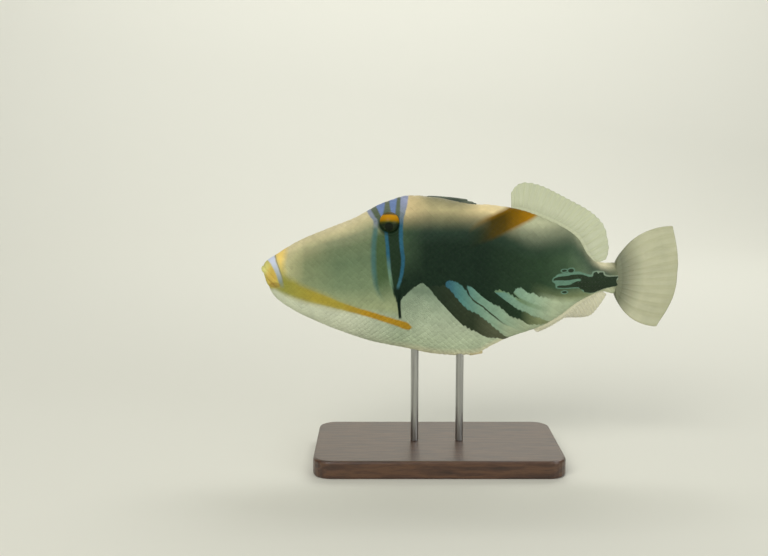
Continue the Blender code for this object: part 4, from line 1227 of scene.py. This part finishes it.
def build_eye(name, node):
    """A ball with a slightly raised cornea, in the place of the solid eye."""
    low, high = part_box(node)
    centre = np.array((low + high) / 2)
    side = math.copysign(1, centre[1])
    gaze = np.array(GAZE) * (1, side, 1)
    gaze /= np.linalg.norm(gaze)
    tilt = np.linspace(0, math.pi, EYE_RINGS + 1)[1:-1]
    spin = np.linspace(0, 2 * math.pi, EYE_SIDES, endpoint=False)
    across = np.cross(gaze, [0, 0, 1])
    across /= np.linalg.norm(across)
    up = np.cross(across, gaze)
    radius = EYE_RADIUS * MM * (1 + CORNEA_RISE * bump_at(tilt, CORNEA_REACH))
    tilt, spin = tilt[:, None, None], spin[:, None]
    ways = np.cos(tilt) * gaze + np.sin(tilt) * (np.cos(spin) * across + np.sin(spin) * up)
    points = centre + ways * radius[:, None, None]
    made = mesh_object(name, points, ring_faces(EYE_RINGS - 1, EYE_SIDES))
    f = Finish(
        name + "_finish", Roughness=0.45, Specular_IOR_Level=0.08, Coat_Weight=0.1, Coat_Roughness=0.06,
    )
    place = f.node("ShaderNodeTexCoord", out=3)
    vectors = "ShaderNodeVectorMath"
    offset = f.node(vectors, {"operation": "SUBTRACT"}, {0: place, 1: centre})
    unit = f.node(vectors, {"operation": "NORMALIZE"}, {0: offset})
    facing = f.node(vectors, {"operation": "DOT_PRODUCT"}, {0: unit, 1: gaze}, out=1)
    height = f.node("ShaderNodeSeparateXYZ", None, {0: unit}, out=2)
    angle = facing.math("ARCCOSINE", facing)
    rays = f.noise(700, 3, 0.6)
    arch = (angle - 0.5) * 0.22
    # golden towards the top of the ball and darker below: partly the eye's colours, partly painted light
    # and shade
    colour = f.ramp((height + rays * 0.1 + arch) * 0.5 + 0.5, (
        (0, rgb(40, 56, 34)), (0.47, rgb(28, 38, 20)), (0.57, rgb(62, 66, 20)),
        (0.66, rgb(136, 106, 8)), (0.74, rgb(172, 118, 4)), (0.88, rgb(188, 136, 14)),
        (0.94, rgb(184, 130, 26)), (0.985, rgb(84, 74, 30)),
    ))
    iris = (IRIS_REACH - angle).edge(0.08) * (0.16 - height).edge(0.12)
    colour = f.mix(iris * 0.5, colour, rgb(36, 46, 26))
    colour = f.mix((PUPIL_REACH - angle).edge(0.08) * 0.85, colour, rgb(12, 18, 9))
    lid = (angle - LID_REACH).edge(0.1) * (-0.1 - height).edge(0.3)
    colour = f.mix(lid * 0.7, colour, rgb(34, 40, 28))
    made.data.materials.append(f.set(Base_Color=colour))
    return seat(made, "eye", node)


eyes = [build_eye("eyeball_left", "eye_left"), build_eye("eyeball_right", "eye_right")]
print("eye faces:", len(eyes[0].data.polygons))

# %% [markdown]
# A soft fin is a thin skin stretched over jointed rays, which fork towards its edge. Each
# fin is one closed sheet: two faces a fraction of a millimetre apart, thicker along each
# ray. The same sums as in the solids place it, with many more columns and rows.

# %% Sheets with rays
MEMBRANE, RAY, SHEATH, TIP = 0.34, 0.95, 1.7, 0.22
COLUMNS_PER_RAY = 10


def ray_ridge(across, along, rays, fork_at):
    """1 on a ray and 0 between them. Rays fork once at fork_at and again further out."""
    phase = across * (rays - 1)
    off = phase - np.round(phase)
    first = smooth((along - fork_at) / 0.3) * 0.13
    second = smooth((along - fork_at - 0.25) / 0.3) * 0.06
    width = 0.085 + 0.03 * (1 - along)
    branches = [a * first + b * second for a in (-1, 1) for b in (-1, 1)]
    ridge = np.max([bump_at(off - branch, width) for branch in branches], axis=0)
    joints = 1 - 0.18 * (0.5 + 0.5 * np.cos(along * 60)) * smooth((along - 0.3) / 0.1)
    return ridge * joints


def fin_thickness(across, along, rays, fork_at=0.5, root=SHEATH, swell=0):
    """Millimetres through the sheet. swell is added where the fin leaves the body."""
    ridge = ray_ridge(across, along, rays, fork_at)
    body = MEMBRANE + (RAY * (1 - 0.35 * along) - MEMBRANE) * ridge
    body = body + (TIP - body) * smooth((along - 0.80) / 0.2)
    body = body + (root - body) * smooth(1 - along / 0.22)
    return body + swell * smooth(1 - along / 0.3)


def build_fin(name, node, rays, rows, sheet, material, **thickness):
    """One closed sheet in the place of a solid fin."""
    columns = COLUMNS_PER_RAY * (rays - 1) + 1
    across, along = np.meshgrid(np.linspace(0, 1, columns), np.linspace(0, 1, rows), indexing="ij")
    small = 1e-4
    middle = sheet(across, along)
    wide = sheet(np.minimum(across + small, 1), along) - sheet(np.maximum(across - small, 0), along)
    long = sheet(across, np.minimum(along + small, 1)) - sheet(across, np.maximum(along - small, 0))
    normal = np.cross(wide, long)
    normal /= np.linalg.norm(normal, axis=-1, keepdims=True)
    half = fin_thickness(across, along, rays, **thickness)[..., None] * MM / 2
    points = np.concatenate([middle - normal * half, middle + normal * half])
    index = np.arange(columns * rows).reshape(columns, rows)
    quads = np.stack([index[:-1, :-1], index[1:, :-1], index[1:, 1:], index[:-1, 1:]], -1).reshape(-1, 4)
    border = np.concatenate([index[:, 0], index[-1, 1:], index[-2::-1, -1], index[0, -2:0:-1]])
    after = np.roll(border, -1)
    rim = np.stack([border, border + columns * rows, after + columns * rows, after], -1)
    faces = np.concatenate([quads[:, ::-1], quads + columns * rows, rim[:, ::-1]]).tolist()
    made = mesh_object(name, points, faces, material)
    add_numbers(made, "ray", [ray_ridge(across, along, rays, 0.5)] * 2)
    add_numbers(made, "along", [along] * 2)
    print(name, "faces:", len(faces))
    return seat(made, "fin", node)


# %% [markdown]
# The fins are pale and let light through. Their membrane is thinner to the eye than the
# rays, which is shown by the alpha, and the tail is darker and browner at its root, which is painted
# shade.

# %% The finish of the fins
def fin_finish(name, membrane, ray_hue, root_hue, root_share, film, reach=0.25, rays=0.96, root=1):
    """film, rays and root say how much of each hides what lies behind it."""
    f = Finish(name, Roughness=0.42)
    ray, along = f.number("ray"), f.number("along")
    colour = f.mix(ray * 0.7, rgb(*membrane), rgb(*ray_hue))
    colour = f.mix(f.noise(140, 3).edge(0.6) * 0.25, colour, rgb(*root_hue))
    colour = f.mix((1 - along / reach).edge(1.2) * root_share, colour, rgb(*root_hue))
    f.bump(f.noise(2400, 2), 0.0001, 0.3)
    solid = (1 - along / 0.2).edge(1) * root
    return f.set(Base_Color=colour, Alpha=(film + ray * (rays - film)).most(solid))


soft_fin = fin_finish("soft_fin", (200, 205, 173), (184, 189, 154), (168, 172, 140), 0.5, 0.74)
# the anal fin's finish is a paler copy of the dorsal's: painted light that offsets the shade under the
# body
low_fin = fin_finish("low_fin", (222, 219, 191), (212, 208, 180), (198, 196, 166), 0.5, 0.7)
# the tail fin's dark brown root is painted shade at its fleshy base
tail_skin = fin_finish("tail_fin_skin", (196, 196, 164), (176, 176, 142), (100, 105, 78), 0.95, 0.86, 0.3)
clear_fin = fin_finish(
    "clear_fin", (160, 175, 147), (164, 179, 151), (156, 171, 143), 0.4, 0.03, rays=0.1, root=0.12,
)

# %% The soft dorsal and anal fins
LEAN_STARTS_AT, LEAN_FULL_AT, LEAN_PARTS = 0.8, 4.5, 12


def median_sheet(base, root_line, up, lengths, sweep, lean, rays):
    """The middle surface of a fin on the back (up is 1) or the belly (up is -1)."""
    length_at, sweep_at, lean_at = Profile(lengths), Profile(sweep), Profile(lean)

    def sheet(across, along):
        behind = base[0] + (base[1] - base[0]) * across
        scallop = 1 + 0.012 * np.cos(2 * math.pi * across * (rays - 1)) * smooth((along - 0.8) / 0.2)
        reach = length_at(across) * along * scallop
        here = reach * (np.arange(LEAN_PARTS) + 0.5)[:, None, None] / LEAN_PARTS
        bent = smooth((here - LEAN_STARTS_AT) / (LEAN_FULL_AT - LEAN_STARTS_AT))
        tilt = np.radians(lean_at(across)) * bent
        rise, out = (reach * np.mean(turned(tilt), axis=0) for turned in (np.cos, np.sin))
        swept = np.radians(sweep_at(across)) * smooth(0.3 + along * 3)
        ground = root_line(behind) - up * 0.7
        return to_world(behind + rise * np.sin(swept), ground + up * rise * np.cos(swept), out)

    return sheet


DORSAL_RAYS, ANAL_RAYS, MEDIAN_ROWS = 24, 22, 36
dorsal_sheet = median_sheet(
    (125.1, 168.6), back_line, 1,
    ((0, 8), (0.045, 11.2), (0.09, 13.3), (0.14, 14.8), (0.25, 15.6),
     (0.5, 14.8), (0.65, 15.2), (0.8, 14.8), (0.9, 12), (1, 5)),
    ((0, -2), (0.08, -1), (0.2, 14), (0.5, 38), (0.65, 49), (0.9, 63), (1, 70)),
    ((0, 4), (0.35, 20), (0.7, 10), (1, 18)), DORSAL_RAYS,
)
build_fin("soft_dorsal_fin", "dorsal_fin", DORSAL_RAYS, MEDIAN_ROWS, dorsal_sheet, soft_fin)
anal_sheet = median_sheet(
    (137, 171), belly_line, -1,
    ((0, 1.2), (0.05, 7.5), (0.1, 11.5), (0.2, 13.5), (0.4, 14.2), (0.65, 14.5), (0.85, 9.8), (1, 4)),
    ((0, 30), (0.35, 42), (0.65, 36), (0.85, 32), (1, 50)),
    ((0, 84), (0.35, 80), (0.65, 42), (0.85, 32), (1, 30)), ANAL_RAYS,
)
build_fin("soft_anal_fin", "anal_fin", ANAL_RAYS, MEDIAN_ROWS, anal_sheet, low_fin)

# %% The tail fin
TAIL_RAYS, TAIL_ROWS = 12, 56
TAIL_ROOT = ((177.8, 5.9), (177.8, -9.2))
TAIL_TIPS = (
    (205.6, 24.9), (207.6, 17.5), (208.8, 10.5), (209.5, 4), (209.3, -3), (208.3, -10.5), (205.9, -18.4),
    (201, -27.2),
)
TAIL_FLARE, TAIL_FLARE_POWER = 0.16, 0.8
TAIL_SWELL = 4.0 - SHEATH
tip_behind = Profile([(i / 7, tip[0]) for i, tip in enumerate(TAIL_TIPS)])
tip_above = Profile([(i / 7, tip[1]) for i, tip in enumerate(TAIL_TIPS)])


def tail_sheet(across, along):
    root_behind = TAIL_ROOT[0][0]
    root_above = TAIL_ROOT[0][1] + (TAIL_ROOT[1][1] - TAIL_ROOT[0][1]) * across
    ray_behind, ray_above = tip_behind(across) - root_behind, tip_above(across) - root_above
    length = np.hypot(ray_behind, ray_above)
    outwards = 1 - 2 * across
    fullness = np.maximum(np.sin(math.pi * along), 0) ** TAIL_FLARE_POWER
    bow = TAIL_FLARE * length * outwards * np.abs(outwards) * fullness
    behind = root_behind + ray_behind * along - ray_above / length * bow
    above = root_above + ray_above * along + ray_behind / length * bow
    curl = np.where(across < 0.5, -2, 5)
    swing = curl * smooth(np.abs(outwards)) * along**1.6
    ripple = 0.5 * np.sin(across * math.pi * 5) * along**1.5
    return to_world(behind, above, swing + ripple)


build_fin(
    "tail_fan", "tail_fin", TAIL_RAYS, TAIL_ROWS, tail_sheet, tail_skin, fork_at=0.3, swell=TAIL_SWELL,
)

# %% The pectoral fins
PECTORAL_RAYS, PECTORAL_ROWS = 13, 40
PECTORAL_ROOT = ((71.3, -12.6), (71.9, -19))
PECTORAL_LENGTH, PECTORAL_ANGLES, PECTORAL_SPREAD = 14.0, (34, -52), math.radians(24)


def pectoral_sheet(side):
    """A rounded fan that stands off behind the gill."""
    upper, lower = (
        to_world(b, a, side * (flank(np.array(b), np.array(a)) + 0.75)) for b, a in PECTORAL_ROOT
    )
    backwards = np.array([math.cos(PECTORAL_SPREAD), side * math.sin(PECTORAL_SPREAD), 0])
    upwards = (upper - lower) / np.linalg.norm(upper - lower)

    def sheet(across, along):
        top, low = PECTORAL_ANGLES
        angle = np.radians(top + (low - top) * across)[..., None]
        roundness = 0.7 + 0.3 * np.sin(math.pi * np.minimum(across * 1.2, 1))
        reach = (PECTORAL_LENGTH * MM * roundness * along)[..., None]
        way = backwards * np.cos(angle) + upwards * np.sin(angle)
        return upper + (lower - upper) * across[..., None] + way * reach

    return sheet


for side, word in ((-1, "left"), (1, "right")):
    fan = build_fin(
        "pectoral_fan_" + word, "pectoral_fin_" + word, PECTORAL_RAYS, PECTORAL_ROWS,
        pectoral_sheet(side), clear_fin, fork_at=0.45, root=0.9,
    )
    fan.visible_shadow = False

# %% [markdown]
# The first dorsal fin of a triggerfish is folded into a groove on its back: three hard
# spines, the first of them thick and rough, with a scrap of membrane between. The pelvic
# spine is one short rough knob at the end of the keel. Each is a tube swept along its
# line, with small pits pressed into its surface.

# %% The spines
SPINES = (
    ((82.6, 38.9), (103.2, 37.7), 1.15, 0.5),
    ((86.2, 37.7), (106.2, 36.5), 0.95, 0.45),
    ((91, 36.7), (107.6, 35.9), 0.8, 0.4),
)
FOLDED_MEMBRANE = ((84.4, 37.6), (106.8, 35.9), 0.62, 0.3)
PELVIC_SPINE = ((104.8, -40.2), (111.6, -39.6), 1.3, 0.75)
SPINE_ARCH, SPINE_RINGS, SPINE_AROUND = 0.35, 56, 20


def spine_tube(start, end, root_radius, tip_radius, arch, grains):
    """Rings of points along a tapering spine with rounded ends and a grained surface."""
    rings = []
    for i in range(SPINE_RINGS):
        share = i / (SPINE_RINGS - 1)
        cap = math.sqrt(max(1 - (2 * max(abs(share - 0.5) - 0.44, 0) / 0.125) ** 2, 0.02))
        radius = (root_radius + (tip_radius - root_radius) * share) * cap
        behind, above = (a + (b - a) * share for a, b in zip(start, end))
        above += arch * math.sin(math.pi * share)
        turn = np.linspace(0, 2 * math.pi, SPINE_AROUND, endpoint=False)
        pits = grains * np.sin(turn * 7 + i * 1.9) * np.sin(i * 0.8) * (1 - share)
        wide = radius * np.minimum(1 + pits, 1)
        rings.append(to_world(behind, above + wide * np.sin(turn), wide * np.cos(turn)))
    return np.array(rings)


def build_spines(name, node, tubes, material):
    """One piece made of closed tubes, in the place of a solid."""
    faces = [
        [index * SPINE_RINGS * SPINE_AROUND + k for k in face]
        for index in range(len(tubes)) for face in ring_faces(SPINE_RINGS, SPINE_AROUND)
    ]
    made = mesh_object(name, tubes, faces, material)
    print(name, "faces:", len(faces))
    return seat(made, "spine", node)


def spine_finish(name, low, high):
    """Bone under thin dark skin: streaked along its length and a little rough."""
    f = Finish(name, Roughness=0.6, Specular_IOR_Level=0.25)
    streaks = f.noise(900, 3, 0.6, (0.15, 1, 1))
    f.bump(f.noise(2600, 2), 0.0001, 0.5)
    return f.set(Base_Color=f.ramp(streaks + 0.5, ((0.3, low), (0.7, high))))


dark_bone = spine_finish("dark_bone", rgb(70, 80, 70), rgb(112, 120, 104))
tan_bone = spine_finish("tan_bone", rgb(176, 164, 124), rgb(214, 202, 160))
build_spines(
    "folded_spines", "dorsal_spines",
    [spine_tube(*rod, SPINE_ARCH, 0.09) for rod in SPINES] + [spine_tube(*FOLDED_MEMBRANE, 0.2, 0)],
    dark_bone,
)
build_spines("pelvic_knob", "pelvic_spine", [spine_tube(*PELVIC_SPINE, 0, 0.14)], tan_bone)

# %% [markdown]
# Three rows of tiny black spines stand out of the dark bar on each side of the tail stalk.
# They are cones that lean backwards, each seated on the flank.

# %% The stalk's small spines
SPINULE_ROWS = ((-0.6, 158, 9), (-2.9, 156.5, 10), (-5, 158.5, 8))  # above, first, how many
SPINULE_PITCH, SPINULE_RADIUS, SPINULE_HEIGHT, SPINULE_SIDES = 1.75, 0.34, 0.5, 8
SPINULE_LEAN, SPINULE_SINKS = 0.55, 0.25


def build_spinules(name):
    points, faces = [], []
    turn = 2 * math.pi * np.arange(SPINULE_SIDES) / SPINULE_SIDES
    base = list(range(SPINULE_SIDES))
    cone = [base] + [[(k + 1) % SPINULE_SIDES, k, SPINULE_SIDES] for k in base]
    for side, (above, start, count) in product((-1, 1), SPINULE_ROWS):
        for behind in start + np.arange(count) * SPINULE_PITCH:
            lift = float(flank(behind, np.array(above)))
            faces += [[len(points) * (SPINULE_SIDES + 1) + k for k in face[::-side]] for face in cone]
            points.append(to_world(
                behind + np.append(SPINULE_RADIUS * 1.5 * np.cos(turn), SPINULE_LEAN),
                above + np.append(SPINULE_RADIUS * np.sin(turn), 0),
                side * (lift + np.append(0 * turn - SPINULE_SINKS, SPINULE_HEIGHT)),
            ))
    made = mesh_object(name, points, faces, black_bone)
    print(name, "faces:", len(faces))
    seat(made, "spine")


black_bone = spine_finish("black_bone", rgb(30, 38, 28), rgb(62, 70, 56))
build_spinules("stalk_spinules")

# %% [markdown]
# The skin and its plates ride on the one body of this still model. The skin stands for
# the head, the jaw, the torso and the tail stalk, and the plates lie on it.

# %% Seat the skin
seat(skin, "skin", "head", "lower_jaw", "torso", "tail_stalk")
for piece in plates:
    seat(piece, "skin")

# %% [markdown]
# The stand is kept plain: a dark wood base and two steel rods. The floor is pale and the
# light is soft, from a large window at the upper left and a weaker one at the right.

# %% The stand, floor and light
wood = Finish("dark_wood", Roughness=0.38, Coat_Weight=0.25, Coat_Roughness=0.25)
grain = wood.noise(60, 6, 0.65, (1, 9, 9))
wood.bump(grain, 0.0002, 0.4)
wood.set(Base_Color=wood.ramp(grain + 0.5, (
    (0.25, rgb(38, 24, 16)), (0.45, rgb(66, 42, 28)), (0.6, rgb(86, 58, 38)), (0.8, rgb(50, 32, 22)),
)))
steel = Finish("brushed_steel", Metallic=1, Roughness=0.3)
brushed = steel.noise(900, 3, 0.6, (1, 1, 0.03))
steel.bump(brushed, 0.00005, 0.4)
steel.set(Base_Color=steel.ramp(brushed + 0.5, ((0.3, rgb(150, 150, 148)), (0.7, rgb(196, 196, 192)))))
for node, finish in (("stand_base", wood), ("stand_rod_front", steel), ("stand_rod_rear", steel)):
    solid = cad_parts[node]
    for held in solid.material_slots:
        held.material = finish.material

FLOOR_HALF, SWEEP_STARTS, SWEEP_RADIUS, SWEEP_HEIGHT = 4, 0.9, 1.2, 3.0  # metres
SWEEP_PARTS = 25
ROOM_LIGHT = 0.27
profile = [(-FLOOR_HALF, 0)]
for t in np.linspace(0, math.pi / 2, SWEEP_PARTS):
    profile.append((SWEEP_STARTS + SWEEP_RADIUS * math.sin(t), SWEEP_RADIUS * (1 - math.cos(t))))
profile.append((SWEEP_STARTS + SWEEP_RADIUS, SWEEP_HEIGHT))
floor_points = [(x, y, z) for y, z in profile for x in (-FLOOR_HALF, FLOOR_HALF)]
floor_faces = [(2 * i, 2 * i + 1, 2 * i + 3, 2 * i + 2) for i in range(len(profile) - 1)]
paper = Finish("pale_floor", Roughness=0.85, Specular_IOR_Level=0.2)
paper.set(Base_Color=rgb(226, 225, 214))
floor = mesh_object("floor", floor_points, floor_faces, paper.material)


def window(name, place, aim_at, size, power, colour, mirrored=True):
    """A soft light. mirrored says whether glossy surfaces show it."""
    light = bpy.data.lights.new(name, "AREA")
    light.shape = "RECTANGLE"
    light.size, light.size_y = size
    light.energy = power
    light.color = colour
    lamp = bpy.data.objects.new(name, light)
    lamp.location = place
    lamp.visible_glossy = mirrored
    lamp.rotation_mode = "QUATERNION"
    lamp.rotation_quaternion = (Vector(aim_at) - Vector(place)).to_track_quat("-Z", "Y")
    bpy.context.scene.collection.objects.link(lamp)


window("key", (-0.55, -1, 1.05), (0, 0, 0.09), (0.9, 0.9), 11.7, (1, 0.98, 0.94))
window("fill", (0.9, -0.8, 0.35), (0, 0, 0.09), (0.8, 0.6), 3.9, (0.95, 0.98, 1))
window("bounce", (-0.1, -0.7, 0.02), (0, 0, 0.08), (0.9, 0.25), 1.7, (1, 0.98, 0.92), False)
window("rim", (0.3, 0.7, 0.9), (0, 0, 0.1), (0.8, 0.5), 3.9, (1, 1, 1))
window("backdrop", (0, 1.2, 1.7), (0, 2.1, 0.7), (2.4, 0.5), 22, (1, 1, 1), False)
world = bpy.data.worlds.new("room")
world.use_nodes = True
background = world.node_tree.nodes["Background"].inputs
background["Color"].default_value = (*rgb(232, 236, 230), 1)
background["Strength"].default_value = ROOM_LIGHT
bpy.context.scene.world = world
bpy.context.scene.view_settings.view_transform = "Standard"
